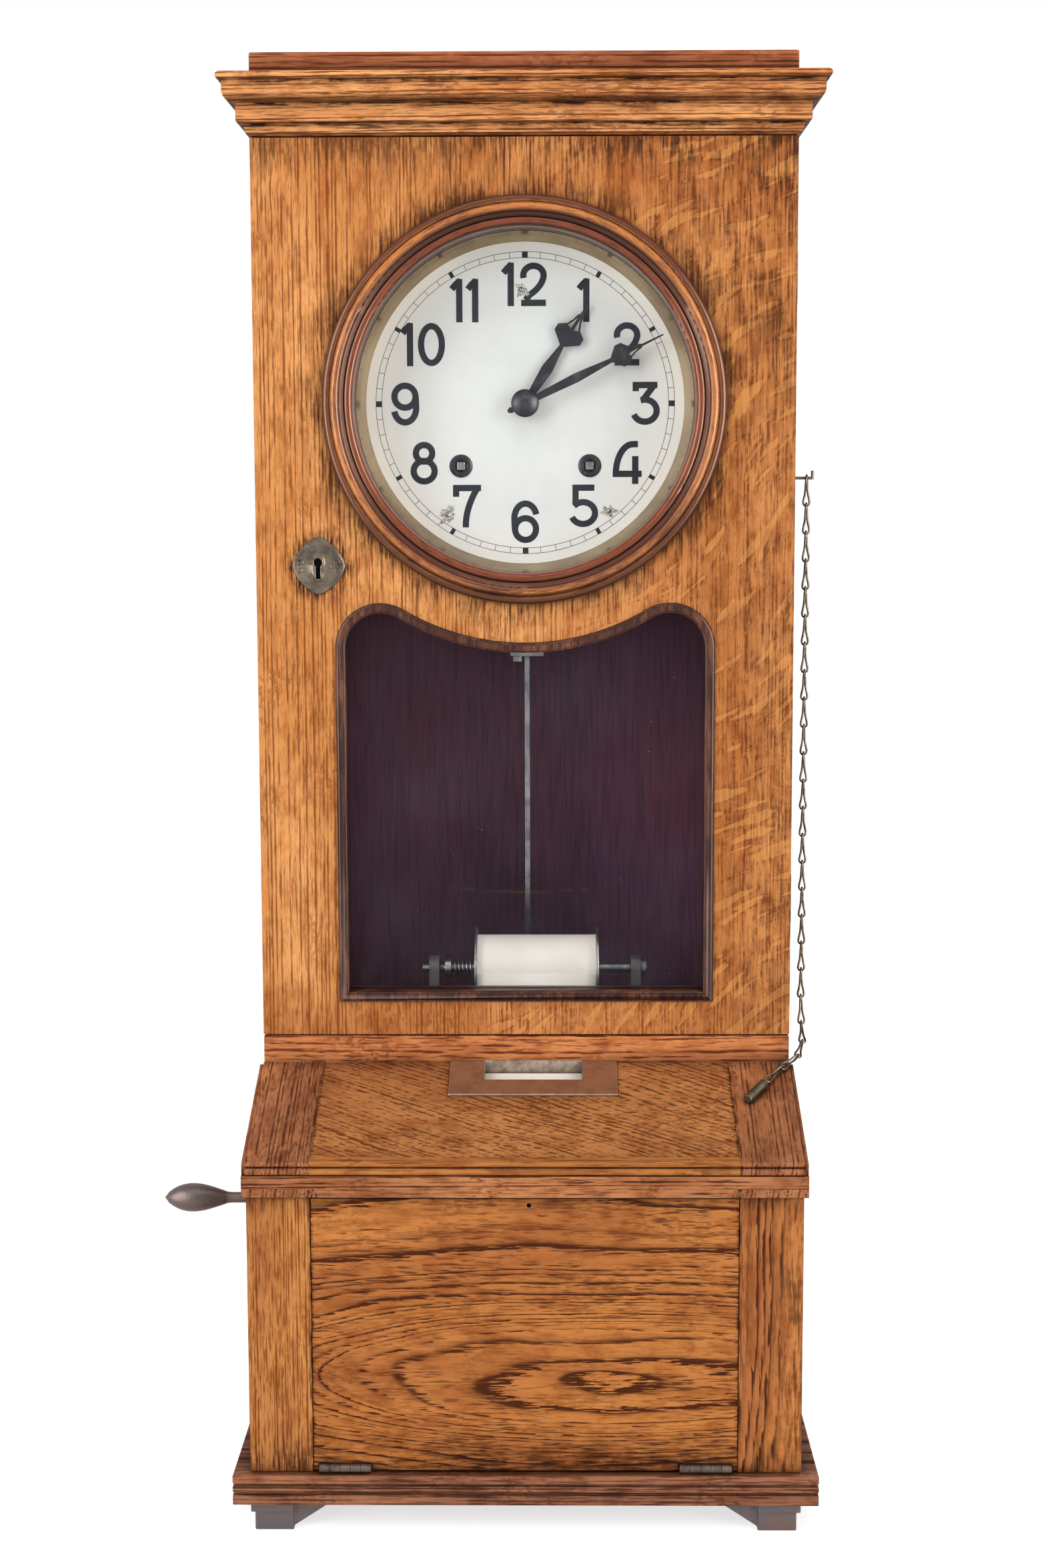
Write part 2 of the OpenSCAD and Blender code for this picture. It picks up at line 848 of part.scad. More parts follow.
module hour_hand() {
    color("#17171a") hand(y_hour_hand, hour_turn, hour_hub, pipe_r)
        hand_outline(hour_len, hour_neck, hour_spade, hour_belly);
}

nut_r = 9.4;
nut_h = 4.5;

module minute_hand() {
    color("#17171a") {
        hand(y_minute_hand, minute_turn, minute_hub, cannon_r)
            hand_outline(minute_len, minute_neck, minute_spade, minute_belly, tail_edge(minute_tail));
        turned(0, z_dial) difference() {
            intersection() {
                translate([0, -y_minute_hand + nut_h - 14]) circle(14);
                translate([0, -y_minute_hand]) square([nut_r, nut_h]);
            }
            translate([-1, -y_minute_hand - 1]) square([1 + arbor_r + run_fit, nut_h]);
        }
    }
}

// Movement
module plate_holes(y0) {
    y1 = y0 + movement_plate_t;
    ycyl(arbor_r + run_fit, y0 - 1, y1 + 1, 0, z_dial);
    ycyl(arbor_r + run_fit, y0 - 1, y1 + 1, third[0], third[1]);
    ycyl(arbor_r + run_fit, y0 - 1, y1 + 1, 0, z_escape);
    ycyl(arbor_r + run_fit, y0 - 1, y1 + 1, 0, z_pivot);
    for (s = [-1, 1])
        ycyl(wind_r + run_fit, y0 - 1, y1 + 1, s * wind_x, z_wind);
}

// Two plates, the pillars between them, the feet that carry the dial and the motion stud
module movement_plates() {
    color("#b89a58") {
        for (y = [y_front_plate, y_back_plate])
            difference() {
                box([-plate_x, y, z_seat], [plate_x, y + movement_plate_t, z_plate_top]);
                plate_holes(y);
            }
        ycyl(stud_r, y_hour_wheel - 1, y_front_plate, motion_d, z_dial);
        for (x = [-plate_x + 8, plate_x - 8])
            for (z = [z_seat + 8, z_plate_top - 8])
                ycyl(4, y_front_plate + movement_plate_t, y_back_plate, x, z);
        for (p = dial_feet)
            ycyl(3, y_dial + dial_t, y_front_plate, p[0], z_dial + p[1]);
    }
}

barrel_r = 30;

module mainspring_barrels() {
    color("#a5894c") for (s = [-1, 1])
        difference() {
            ycyl(barrel_r, y_front_plate + 14, y_back_plate, s * wind_x, z_wind);
            ycyl(wind_r + run_fit, y_front_plate, y_back_plate + 1, s * wind_x, z_wind);
        }
}

// Winding arbor with its ratchet wheel and a square end for the key, behind the path of the hour hand
hand_clear = 0.8;
y_key_end = y_hour_hand + hand_t + hand_clear;

module winding_arbor(s) {
    square_w = wind_r * 1.3;
    color("#9c9c98") {
        ycyl(wind_r, y_dial + 4, y_back_plate + movement_plate_t, s * wind_x, z_wind);
        gear(24, 1.2, y_front_plate + 5, y_front_plate + 7.5, s * wind_x, z_wind);
        box([s * wind_x - square_w / 2, y_key_end, z_wind - square_w / 2],
            [s * wind_x + square_w / 2, y_dial + 5, z_wind + square_w / 2]);
    }
}

module left_arbor() {
    winding_arbor(-1);
}

module right_arbor() {
    winding_arbor(1);
}

// Going train: centre wheel, third wheel, escape wheel
center_n = 60;
leaf_n = 10;
train_m = 1;
third_m = 0.8;
escape_n = 32;
escape_r = 16;
train_d = pitch_r(center_n + leaf_n, train_m) + mesh_slack;
escape_d = pitch_r(center_n + leaf_n, third_m) + mesh_slack;
third_rise = 60;
third = [train_d * cos(third_rise), z_dial + train_d * sin(third_rise)];
z_escape = third[1] + sqrt(escape_d * escape_d - third[0] * third[0]);
center_in = 8.5;
third_in = 17;
escape_in = 27;
y_center_wheel = y_front_plate + center_in;
y_third_wheel = y_front_plate + third_in;
y_escape = y_front_plate + escape_in;

// Turn that sets a tooth gap of a follower on the line of centres
function facing(n, toward) = toward + 180 / n;

module center_wheel() {
    color("#b5975a") {
        gear(center_n, train_m, y_center_wheel, y_center_wheel + wheel_t, 0, z_dial);
        ycyl(arbor_r, y_minute_hand - 1, y_back_plate + movement_plate_t, 0, z_dial);
    }
}

module third_wheel() {
    color("#b5975a") {
        gear(leaf_n, train_m, y_center_wheel - 0.5, y_center_wheel + wheel_t + 0.5,
            third[0], third[1], facing(leaf_n, third_rise + 180));
        gear(center_n, third_m, y_third_wheel, y_third_wheel + wheel_t, third[0], third[1], third_toward);
        ycyl(arbor_r, y_front_plate, y_back_plate + movement_plate_t, third[0], third[1]);
    }
}

third_toward = atan2(z_escape - third[1], -third[0]);

module escape_wheel() {
    color("#b5975a") {
        gear(leaf_n, third_m, y_third_wheel - 0.5, y_third_wheel + wheel_t + 0.5,
            0, z_escape, facing(leaf_n, third_toward + 180));
        gear(escape_n, 2 * escape_r / escape_n / 1.05, y_escape, y_escape + wheel_t, 0, z_escape);
        ycyl(arbor_r, y_front_plate, y_back_plate + movement_plate_t, 0, z_escape);
    }
}

// Pallet anchor on the arbor that carries the pendulum
module pallet_anchor() {
    color("#8c8c88") {
        xz(y_escape - 0.5, y_escape + wheel_t + 0.5) translate([0, z_pivot]) {
            polygon([
                [-16, -12], [-13, -10.8], [-11, -6], [0, -4], [11, -6], [13, -10.8],
                [16, -12], [15, -6], [4, 4], [-4, 4], [-15, -6]
            ]);
            circle(4);
        }
        ycyl(arbor_r, y_front_plate, y_pend + 3, 0, z_pivot);
    }
}

rod_w = 3.6;
rod_t = 2;
block_drop = 249;

module pendulum_rod() {
    z_bob = z_pivot - pendulum_len;
    color("#a9a6a0") difference() {
        union() {
            ycyl(5, y_pend - 2, y_pend + 2, 0, z_pivot);
            box([-rod_w / 2, y_pend - rod_t / 2, z_bob - bob_r - 12],
                [rod_w / 2, y_pend + rod_t / 2, z_pivot]);
            box([-12, y_pend - 4, z_pivot - block_drop - 4], [12, y_pend + 4, z_pivot - block_drop + 4]);
            box([-10, y_pend - 3, z_pivot - block_drop - 8], [-4, y_pend + 3, z_pivot - block_drop]);
        }
        ycyl(arbor_r + run_fit, y_pend - 5, y_pend + 5, 0, z_pivot);
    }
}

bob_t = 14;

// Lens-shaped bob with the rating nut under it
module pendulum_bob() {
    z_bob = z_pivot - pendulum_len;
    bulge = (bob_r * bob_r + bob_t * bob_t / 4) / bob_t;
    color("#9a8240") difference() {
        union() {
            turned(0, z_bob) intersection() {
                translate([0, -y_pend + bob_t / 2 - bulge]) circle(bulge, $fn = 180);
                translate([0, -y_pend - bob_t / 2 + bulge]) circle(bulge, $fn = 180);
                translate([0, -y_pend - bob_t]) square([bob_r - 0.6, 2 * bob_t]);
            }
            zcyl(5, z_bob - bob_r - 8, z_bob - bob_r - 1, 0, y_pend);
        }
        box([-rod_w / 2 - run_fit, y_pend - rod_t / 2 - run_fit, z_bob - bob_r - 20],
            [rod_w / 2 + run_fit, y_pend + rod_t / 2 + run_fit, z_bob + bob_r + 20]);
    }
}

seat_t = 15;
seat_notch = 22;
rod_clear = 10;

// Board that carries the movement, notched for the pendulum
module movement_seat() {
    color("#3a2422") difference() {
        box([-x_in, y_front_plate - 5, z_seat - seat_t], [x_in, y_panel, z_seat]);
        box([-seat_notch, y_pend - rod_clear, z_seat - seat_t - 1], [seat_notch, y_panel + 1, z_seat + 1]);
    }
}

// Recorder: supply roll, guides, writing bed and take-up spool
roll_back = 65;
roll_up = 33.5;
y_roll = y_door + roll_back;
z_roll = z_door + roll_up;
web_t = 0.3;
web_gap = 0.2;
web_d = desk_t + 0.6;
guide_r = 5;
edge_bar_r = 4;
frame_t = 7;
frame_left = paper_x - paper_w / 2 - 32;
frame_right = paper_x + paper_w / 2 + 26.5;
roll_x = paper_x + 2;
roll_x0 = roll_x - paper_w / 2;
roll_x1 = roll_x + paper_w / 2;
spindle_r = 3.25;
run_of_guide = guide_r + web_gap + web_t / 2;
y_guide = y_roll - roll_r - web_gap - web_t / 2 - run_of_guide;
z_guide = below_slope(y_guide, web_d) + run_of_guide / cos(desk_angle);
y_edge = y_door - plate_run;
run_of_edge = edge_bar_r + web_gap + web_t / 2;
z_edge = below_slope(y_edge, web_d) - run_of_edge / cos(desk_angle);
run_of_spool = wound_r + web_gap + web_t / 2;
center_run = norm([y_shaft - y_edge, z_shaft - z_edge]);
web_fall = atan2(z_shaft - z_edge, y_shaft - y_edge) - asin((run_of_spool - run_of_edge) / center_run);
function around(y, z, r, a) = [y + r * cos(a), z + r * sin(a)];

// Middle line of the paper from the roll to the take-up spool
arc_n = 6;
web_path = concat(
    [[y_guide + run_of_guide, z_roll]],
    [for (i = [0 : arc_n]) around(y_guide, z_guide, run_of_guide, -i * (90 - desk_angle) / arc_n)],
    [for (i = [0 : arc_n]) around(y_edge, z_edge, run_of_edge,
        90 + desk_angle + i * (180 - desk_angle + web_fall) / arc_n)],
    [around(y_shaft, z_shaft, run_of_spool, web_fall - 90)]
);

function unit2(v) = v / norm(v);
function path_normal(p, i) =
    let (a = p[max(i - 1, 0)], b = p[min(i + 1, len(p) - 1)], d = unit2(b - a)) [-d[1], d[0]];
function ribbon(p, t) = concat(
    [for (i = [0 : len(p) - 1]) p[i] + path_normal(p, i) * t / 2],
    [for (i = [len(p) - 1 : -1 : 0]) p[i] - path_normal(p, i) * t / 2]
);

module paper_web() {
    color("#f4f1ea") yz(roll_x0 + 0.5, roll_x1 - 0.5) polygon(ribbon(web_path, web_t));
}

rod_r = 4;
y_type = y_door + 24.6;
z_type = below_slope(y_type - 4.6, web_d) - 12.7;
type_arbor_r = 3;
rod_back = 50;
rod_drop = 26;
rod_near = 11.5;
rod_fore = 25;
rod_over = 40;
frame_rods_at = [
    [y_door + rod_back, z_apron - rod_drop],
    [y_edge + rod_near, z_edge - rod_r / 2],
    [y_shaft - rod_fore, z_shaft + rod_over]
];

module frame_outline() {
    edge = web_d + 1;
    polygon([
        [y_edge - 8, z_edge - 11],
        [y_edge - 8, below_slope(y_edge - 8, edge)],
        [y_door + 20, below_slope(y_door + 20, edge)],
        [y_guide - 6, below_slope(y_door + 20, edge) + 3],
        [y_guide - 6, z_guide + 6],
        [y_roll - 9, z_guide + 8],
        [y_roll - 9, z_roll],
        [y_roll + 9, z_roll],
        [y_roll + 9, z_apron - 4],
        [y_shaft + 13, z_shaft + 8],
        [y_shaft + 13, z_shaft - 8],
        [y_shaft - 8, z_shaft - 13]
    ]);
    translate([y_roll, z_roll]) circle(9);
}

// Two side plates of the recorder
module recorder_frame() {
    color("#3f4346") for (x = [frame_left, frame_right])
        difference() {
            yz(x, x + frame_t) frame_outline();
            xcyl(spindle_r + run_fit, x - 1, x + frame_t + 1, y_roll, z_roll);
            xcyl(shaft_r + run_fit, x - 1, x + frame_t + 1, y_shaft, z_shaft);
            xcyl(type_arbor_r + run_fit, x - 1, x + frame_t + 1, y_type, z_type);
            for (p = frame_rods_at)
                xcyl(rod_r + run_fit, x - 1, x + frame_t + 1, p[0], p[1]);
        }
}

// Rods that hang the recorder between the case sides
module frame_rods() {
    color("#6b6e70") for (p = frame_rods_at)
        xcyl(rod_r, -x_in, x_in, p[0], p[1]);
}

// Bed under the writing slot, with the bars that lead the paper on and off it
module writing_bed() {
    x0 = frame_left + frame_t;
    color("#77797b") {
        yz(x0, frame_right) slope_slab(y_edge + 8, y_door + 4, web_d + web_t + 3, web_d + web_t);
        xcyl(guide_r, x0, frame_right, y_guide, z_guide);
        xcyl(edge_bar_r, x0, frame_right, y_edge, z_edge);
    }
}

type_r = 12;
type_w = 7;

module type_wheels() {
    color("#8a8d8f") {
        xcyl(type_arbor_r, frame_left, frame_right + frame_t, y_type, z_type);
        for (i = [0 : 2])
            translate([paper_x + 6 + i * (type_w + 1), y_type, z_type]) rotate([0, 90, 0])
                cylinder(r = type_r, h = type_w, $fn = 10);
    }
}

core_r = 8;
flange_t = 1.5;

module paper_roll() {
    color("#f4f1ea") difference() {
        xcyl(roll_r, roll_x0 + 0.1, roll_x1 - 0.1, y_roll, z_roll);
        xcyl(core_r + run_fit, roll_x0 - 1, roll_x1 + 1, y_roll, z_roll);
    }
}

module roll_core() {
    x0 = roll_x0 - flange_t;
    x1 = roll_x1 + flange_t;
    color("#8a7c58") difference() {
        union() {
            xcyl(core_r, x0, x1, y_roll, z_roll);
            xcyl(flange_r, x0, x0 + flange_t, y_roll, z_roll);
            xcyl(flange_r, x1 - flange_t, x1, y_roll, z_roll);
        }
        xcyl(spindle_r + run_fit, x0 - 1, x1 + 1, y_roll, z_roll);
    }
}

collar_x = roll_x0 - flange_t - 21.5;
collar_t = 4.5;
spindle_end = 5;

module roll_spindle() {
    color("#55585a") {
        xcyl(spindle_r, frame_left - spindle_end, frame_right + frame_t + spindle_end, y_roll, z_roll);
        xcyl(7, collar_x, collar_x + collar_t, y_roll, z_roll);
        xcyl(6.5, frame_right + frame_t + 0.1, frame_right + frame_t + spindle_end - 1, y_roll, z_roll);
    }
}

// Round wire along a list of points, six sides, with a side direction for each point
function cross_side(t, n) = cross(t, n) / norm(cross(t, n));
function tangent(p, i) =
    let (v = p[min(i + 1, len(p) - 1)] - p[max(i - 1, 0)]) v / norm(v);
function wire_points(p, n, r, sides) = [
    for (i = [0 : len(p) - 1])
        let (t = tangent(p, i), b = cross_side(t, n[i]), a = cross(b, t))
        for (k = [0 : sides - 1]) p[i] + r * (cos(360 * k / sides) * a + sin(360 * k / sides) * b)
];
function wire_skin(m, sides) = [
    for (i = [0 : m - 2]) for (k = [0 : sides - 1])
        let (a = i * sides + k, b = i * sides + (k + 1) % sides)
        each [[a, a + sides, b], [b, a + sides, b + sides]]
];
function wire_caps(m, sides) = concat(
    [for (k = [1 : sides - 2]) [0, k, k + 1]],
    [for (k = [1 : sides - 2]) [(m - 1) * sides, (m - 1) * sides + k + 1, (m - 1) * sides + k]]
);

module open_wire(p, n, r, sides) {
    polyhedron(wire_points(p, n, r, sides), concat(wire_skin(len(p), sides), wire_caps(len(p), sides)));
}

// Coil about an axis along X, with a straight end at each side
coil_rings = 10;
coil_sides = 6;
function coil_steps(turns) = turns * coil_rings;
function coil_points(x0, x1, r, wire, turns) =
    let (n = coil_steps(turns), lead = 2 * wire, run = x1 - x0 - 2 * lead)
    concat(
        [[x0, r, 0]],
        [for (i = [0 : n]) let (a = 360 * i / coil_rings)
            [x0 + lead + run * i / n, r * cos(a), r * sin(a)]],
        [[x1, r * cos(360 * turns), r * sin(360 * turns)]]
    );
function coil_sides_of(p) = [for (q = p) [0, q[1], q[2]] / norm([0, q[1], q[2]])];
function coil_gap(p, wire) = min([for (i = [0 : len(p) - 1]) for (j = [i + 6 : 1 : len(p) - 1])
    norm(p[i] - p[j])]) - 2 * wire;

module coil(x0, x1, r, wire, turns, y, z, label) {
    p = coil_points(x0, x1, r, wire, turns);
    echo(str(label, " least gap between turns: ", coil_gap(p, wire)));
    translate([0, y, z]) open_wire(p, coil_sides_of(p), wire, coil_sides);
}

spindle_wire = 0.75;
spindle_coil_r = 4.7;

module spindle_spring() {
    color("#8d8a84") coil(collar_x + collar_t, roll_x0 - flange_t - 0.3,
        spindle_coil_r, spindle_wire, 5, y_roll, z_roll, "spindle spring");
}

// Take-up spool that turns on the lever's shaft
spool_flange_r = 27;
spool_core_r = 10;
ratchet_n = 24;
ratchet_m = 1.6;
ratchet_w = 4;
spool_flange_t = 2;
spool_x0 = roll_x0 - spool_flange_t;
spool_x1 = roll_x1 + spool_flange_t;

module ratchet_outline() {
    r = pitch_r(ratchet_n, ratchet_m);
    polygon([for (i = [0 : ratchet_n - 1]) for (k = [[0, 1], [0.9, 0.86]])
        r * k[1] * [cos(360 * (i + k[0]) / ratchet_n), sin(360 * (i + k[0]) / ratchet_n)]]);
}

// Spool with its ratchet wheel, and the recorded paper wound on it
module take_up_spool() {
    color("#6d6f71") difference() {
        union() {
            xcyl(spool_core_r, spool_x0 - ratchet_w - 3, spool_x1, y_shaft, z_shaft);
            xcyl(spool_flange_r, spool_x0, spool_x0 + spool_flange_t, y_shaft, z_shaft);
            xcyl(spool_flange_r, spool_x1 - spool_flange_t, spool_x1, y_shaft, z_shaft);
            translate([0, y_shaft, z_shaft]) yz(spool_x0 - ratchet_w, spool_x0) ratchet_outline();
        }
        xcyl(shaft_r + run_fit, spool_x0 - 20, spool_x1 + 1, y_shaft, z_shaft);
    }
    color("#f4f1ea") difference() {
        xcyl(wound_r, roll_x0 + 0.3, roll_x1 - 0.3, y_shaft, z_shaft);
        xcyl(spool_core_r + run_fit, spool_x0, spool_x1, y_shaft, z_shaft);
    }
}

// Lever at the left of the case
arm_t = 6;
x_arm = -case_w / 2 - 2 - arm_t;
lever_drop = 11;
arm_r = 9;
handle_at = around(y_shaft, z_shaft, lever_len, 180 + lever_drop);

// Shaft with the arm whose tooth drives the spool's ratchet
module lever_shaft() {
    x1 = spool_x0 - ratchet_w - 3 - panel_gap;
    tip = pitch_r(ratchet_n, ratchet_m) + 0.6;
    color("#6b6e70") {
        xcyl(shaft_r, x_arm - 2, frame_right + frame_t + 3, y_shaft, z_shaft);
        xcyl(shaft_r + 5, x1 - 5, x1, y_shaft, z_shaft);
        box([x1 - 5, y_shaft - 4, z_shaft], [x1, y_shaft + 4, z_shaft + tip + 6]);
        box([x1 - 5, y_shaft - 4, z_shaft + tip], [spool_x0 - 1, y_shaft + 4, z_shaft + tip + 6]);
    }
}

module lever_bush() {
    color("#a08a50") difference() {
        union() {
            xcyl(bush_r, -case_w / 2, -x_in, y_shaft, z_shaft);
            xcyl(bush_r + 3, -case_w / 2 - 1.5, -case_w / 2, y_shaft, z_shaft);
        }
        xcyl(shaft_r + run_fit, -case_w / 2 - 3, -x_in + 1, y_shaft, z_shaft);
    }
}

handle_neck_r = 3.75;
neck_l = 10;
egg_n = 18;
egg_l = handle_len - neck_l;

// Egg-shaped handle turned about an axis along X, its thick end outward
egg_skew = 1.6;
egg_fullness = 0.7;

function egg_r(t) = max(
    t < 0.4 ? handle_neck_r : 0,
    handle_r * pow(sin(180 * pow(t, egg_skew)), egg_fullness)
);

module handle_egg() {
    translate([x_arm + 1, handle_at[0], handle_at[1]]) rotate([0, -90, 0]) rotate_extrude()
        polygon(concat(
            [[0, 0], [handle_neck_r, 0]],
            [for (i = [0 : egg_n - 1]) [egg_r(i / egg_n), 1 + neck_l + egg_l * i / egg_n]],
            [[0, 1 + handle_len]]
        ));
}

// Iron lever: hub on the shaft, flat arm along the side, handle standing out
module lever_handle() {
    color("#38383a") difference() {
        union() {
            xcyl(arm_r + 2, x_arm, x_arm + arm_t, y_shaft, z_shaft);
            xcyl(arm_r, x_arm, x_arm + arm_t, handle_at[0], handle_at[1]);
            translate([x_arm, y_shaft, z_shaft]) rotate([180 + lever_drop, 0, 0])
                translate([0, 0, -arm_r * 0.7]) cube([arm_t, lever_len, arm_r * 1.4]);
            handle_egg();
        }
        xcyl(shaft_r + run_fit, x_arm - 1, x_arm + arm_t + 1, y_shaft, z_shaft);
    }
}

return_wire = 1;
return_coil_r = 8.5;

module return_spring() {
    color("#7d7f81") coil(-x_in, -x_in + 34, return_coil_r, return_wire, 8,
        y_shaft, z_shaft, "return spring");
}

// Chain: figure-eight wire links, its joints chosen by hand past the hanging run
x_chain = case_w / 2 + 12;
hook_r = 1;
link_gap = 0.35;
link_rings = 16;
link_half = (link_pitch / 2 + link_wire + link_gap / 2) / cos(180 / link_rings);
link_sides = 5;
link_waist = 1.05;
link_swell = 4.7;
tail_dirs = [[-0.2, -8, -17.2], [-0.8, -16, -10], [-5, -17.2, -6], [-12, -14, -4.5], [-11, -14, -5.1]];
function tail_offset(i) = i < 0 ? [0, 0, 0]
    : tail_offset(i - 1) + tail_dirs[i] * link_pitch / norm(tail_dirs[i]);
tail_end = tail_offset(len(tail_dirs) - 1);
z_hang = slope_z(hook_y + tail_end[1]) + 3.8 - tail_end[2];
z_chain = z_hang + hanging_links * link_pitch;
hook_z = z_chain - hook_r - 0.15 + link_gap / 2;
chain_joints = concat(
    [for (i = [0 : hanging_links]) [x_chain, hook_y, z_chain - i * link_pitch]],
    [for (i = [0 : len(tail_dirs) - 1]) [x_chain, hook_y, z_hang] + tail_offset(i)]
);

// Half width of a link's loops, upper loop across Y and lower loop across X
function link_width(a) = sin(a) * (link_waist + link_swell * pow(cos(a), 2));
function link_twist(a) = 45 * (1 - cos(a));
function link_point(a) =
    let (f = link_twist(a), w = link_width(a)) [w * sin(f), w * cos(f), link_half * cos(a)];
function link_angle(i) = 360 * (i + 0.5) / link_rings;
function link_local() = [for (i = [0 : link_rings - 1]) link_point(link_angle(i))];
function link_plane(i) = let (f = link_twist(link_angle(i))) [cos(f), -sin(f), 0];
function loop_tangent(p, i) =
    let (m = len(p), v = p[(i + 1) % m] - p[(i + m - 1) % m]) v / norm(v);
function across(t, n) = let (b = n - (n * t) * t) b / norm(b);
function loop_skin(m, sides) = [
    for (i = [0 : m - 1]) for (k = [0 : sides - 1])
        let (j = (i + 1) % m, a = i * sides + k, b = i * sides + (k + 1) % sides,
            c = j * sides + k, d = j * sides + (k + 1) % sides)
        each [[a, c, b], [b, c, d]]
];

module chain_link() {
    p = link_local();
    points = [for (i = [0 : len(p) - 1])
        let (t = loop_tangent(p, i), b = across(t, link_plane(i)), a = cross(b, t))
        for (k = [0 : link_sides - 1])
            p[i] + link_wire * (cos(360 * k / link_sides) * a + sin(360 * k / link_sides) * b)];
    polyhedron(points, loop_skin(len(p), link_sides));
}

// A link between two joints, its lower end at the second
module link_between(a, b) {
    d = (a - b) / norm(a - b);
    mid = (a + b) / 2;
    turn = atan2(d[1], d[0]);
    translate(mid) rotate([0, acos(d[2]), turn]) rotate([0, 0, -turn]) chain_link();
}

module pencil_chain() {
    color("#5d5340") for (i = [0 : len(chain_joints) - 2])
        link_between(chain_joints[i], chain_joints[i + 1]);
}

ferrule_r = 3;
ferrule_l = 27;
ferrule_turn = 55;

// Brass ferrule at the chain's end, lying on the desk
module chain_ferrule() {
    last = chain_joints[len(chain_joints) - 1];
    color("#8d8248") translate(last) rotate([0, 0, 180 + ferrule_turn])
        rotate([0, 90 + atan(tan(desk_angle) * sin(ferrule_turn)), 0]) {
            translate([0, 0, 4]) cylinder(r = ferrule_r, h = ferrule_l - 4);
            translate([0, 0, 2.2]) cylinder(r = 1, h = 3);
        }
}

module chain_hook() {
    color("#4a4234") {
        xcyl(hook_shank_r, case_w / 2 - hook_shank_l, case_w / 2 + 1, hook_y, hook_z);
        xcyl(4, case_w / 2, case_w / 2 + 1.2, hook_y, hook_z);
        xcyl(hook_r, case_w / 2, x_chain + 4, hook_y, hook_z);
        zcyl(hook_r, hook_z - hook_r, hook_z + 5, x_chain + 4, hook_y);
    }
}

base_plate();
feet();
left_side();
right_side();
back_panel();
top_board();
front_rails();
cornice();
desk_board();
desk_cleats();
desk_rail();
slot_plate();
lower_stiles();
fall_front();
fall_hinge_plates();
door_panel();
dial_ring();
window_moulding();
door_glass();
escutcheon();
lock_case();
lock_bolt();
door_hinge_plates();
hinge_leaves();
hinge_pins();
dial_plate();
sight_ring();
cannon_pinion();
minute_wheel();
hour_wheel();
hour_hand();
minute_hand();
movement_plates();
mainspring_barrels();
left_arbor();
right_arbor();
center_wheel();
third_wheel();
escape_wheel();
pallet_anchor();
pendulum_rod();
pendulum_bob();
movement_seat();
paper_web();
recorder_frame();
frame_rods();
writing_bed();
type_wheels();
paper_roll();
roll_core();
roll_spindle();
spindle_spring();
take_up_spool();
lever_shaft();
lever_bush();
lever_handle();
return_spring();
chain_hook();
pencil_chain();
chain_ferrule();
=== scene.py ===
"""Oak time recorder: clock above, paper roll in its window, writing slot in the desk, side lever."""
import json
import math
import random

import bmesh
import bpy
from mathutils import Matrix, Vector

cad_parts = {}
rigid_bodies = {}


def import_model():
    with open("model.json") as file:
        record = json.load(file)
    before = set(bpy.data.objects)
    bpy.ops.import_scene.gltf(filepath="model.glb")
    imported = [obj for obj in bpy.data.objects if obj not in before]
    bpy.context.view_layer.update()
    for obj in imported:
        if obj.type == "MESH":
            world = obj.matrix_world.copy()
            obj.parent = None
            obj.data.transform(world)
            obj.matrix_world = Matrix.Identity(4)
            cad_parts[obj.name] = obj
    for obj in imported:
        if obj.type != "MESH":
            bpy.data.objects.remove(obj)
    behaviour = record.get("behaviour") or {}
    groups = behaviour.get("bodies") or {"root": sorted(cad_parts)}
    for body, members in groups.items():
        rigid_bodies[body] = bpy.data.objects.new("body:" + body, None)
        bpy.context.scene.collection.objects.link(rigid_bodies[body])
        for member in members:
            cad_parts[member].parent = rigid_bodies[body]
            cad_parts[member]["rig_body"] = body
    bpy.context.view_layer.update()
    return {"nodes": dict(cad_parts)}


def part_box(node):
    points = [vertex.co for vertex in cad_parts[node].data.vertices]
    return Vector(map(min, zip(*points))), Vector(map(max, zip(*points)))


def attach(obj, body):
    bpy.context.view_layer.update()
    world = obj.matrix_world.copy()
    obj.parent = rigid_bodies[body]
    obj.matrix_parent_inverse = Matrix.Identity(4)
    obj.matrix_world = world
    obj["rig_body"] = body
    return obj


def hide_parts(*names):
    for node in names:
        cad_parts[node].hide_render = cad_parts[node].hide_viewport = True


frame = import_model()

SCENE = bpy.context.scene
MM = 0.001

# Places taken from the frame
DIAL_LOW, DIAL_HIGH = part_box("dial_plate")
DIAL_CENTRE = Vector((0.0, DIAL_LOW.y, (DIAL_LOW.z + DIAL_HIGH.z) / 2))
LOCK_LOW, LOCK_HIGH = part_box("escutcheon")
LOCK_CENTRE = (LOCK_LOW + LOCK_HIGH) / 2
SLOT_LOW, SLOT_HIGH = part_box("slot_plate")
DOOR_LOW, DOOR_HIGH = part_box("door_panel")
ROD_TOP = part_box("pendulum_rod")[1]
RAIL_LOW, RAIL_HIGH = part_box("desk_rail")
RAIL_SETBACK = 0.1115
RAIL_FRONT = SLOT_HIGH.y - RAIL_SETBACK
SLOPE_FALL = Vector((0, SLOT_LOW.y - SLOT_HIGH.y, SLOT_LOW.z - SLOT_HIGH.z)).normalized()
SLOPE_NORMAL = SLOPE_FALL.cross(Vector((1, 0, 0)))
BASE_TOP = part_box("base_plate")[1].z
JOINT_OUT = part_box("desk_board")[1].x
CASE_HALF = DOOR_HIGH.x
DOOR_FRONT = DOOR_LOW.y

# Camera of the photograph: eye in metres, turns in degrees, sensor and lens in millimetres
EYE = Vector((0.01826, -1.65153, 0.67670))
YAW = 0.706
PITCH = 83.084
ROLL = -0.156
SENSOR = 36.0
LENS = 55.283


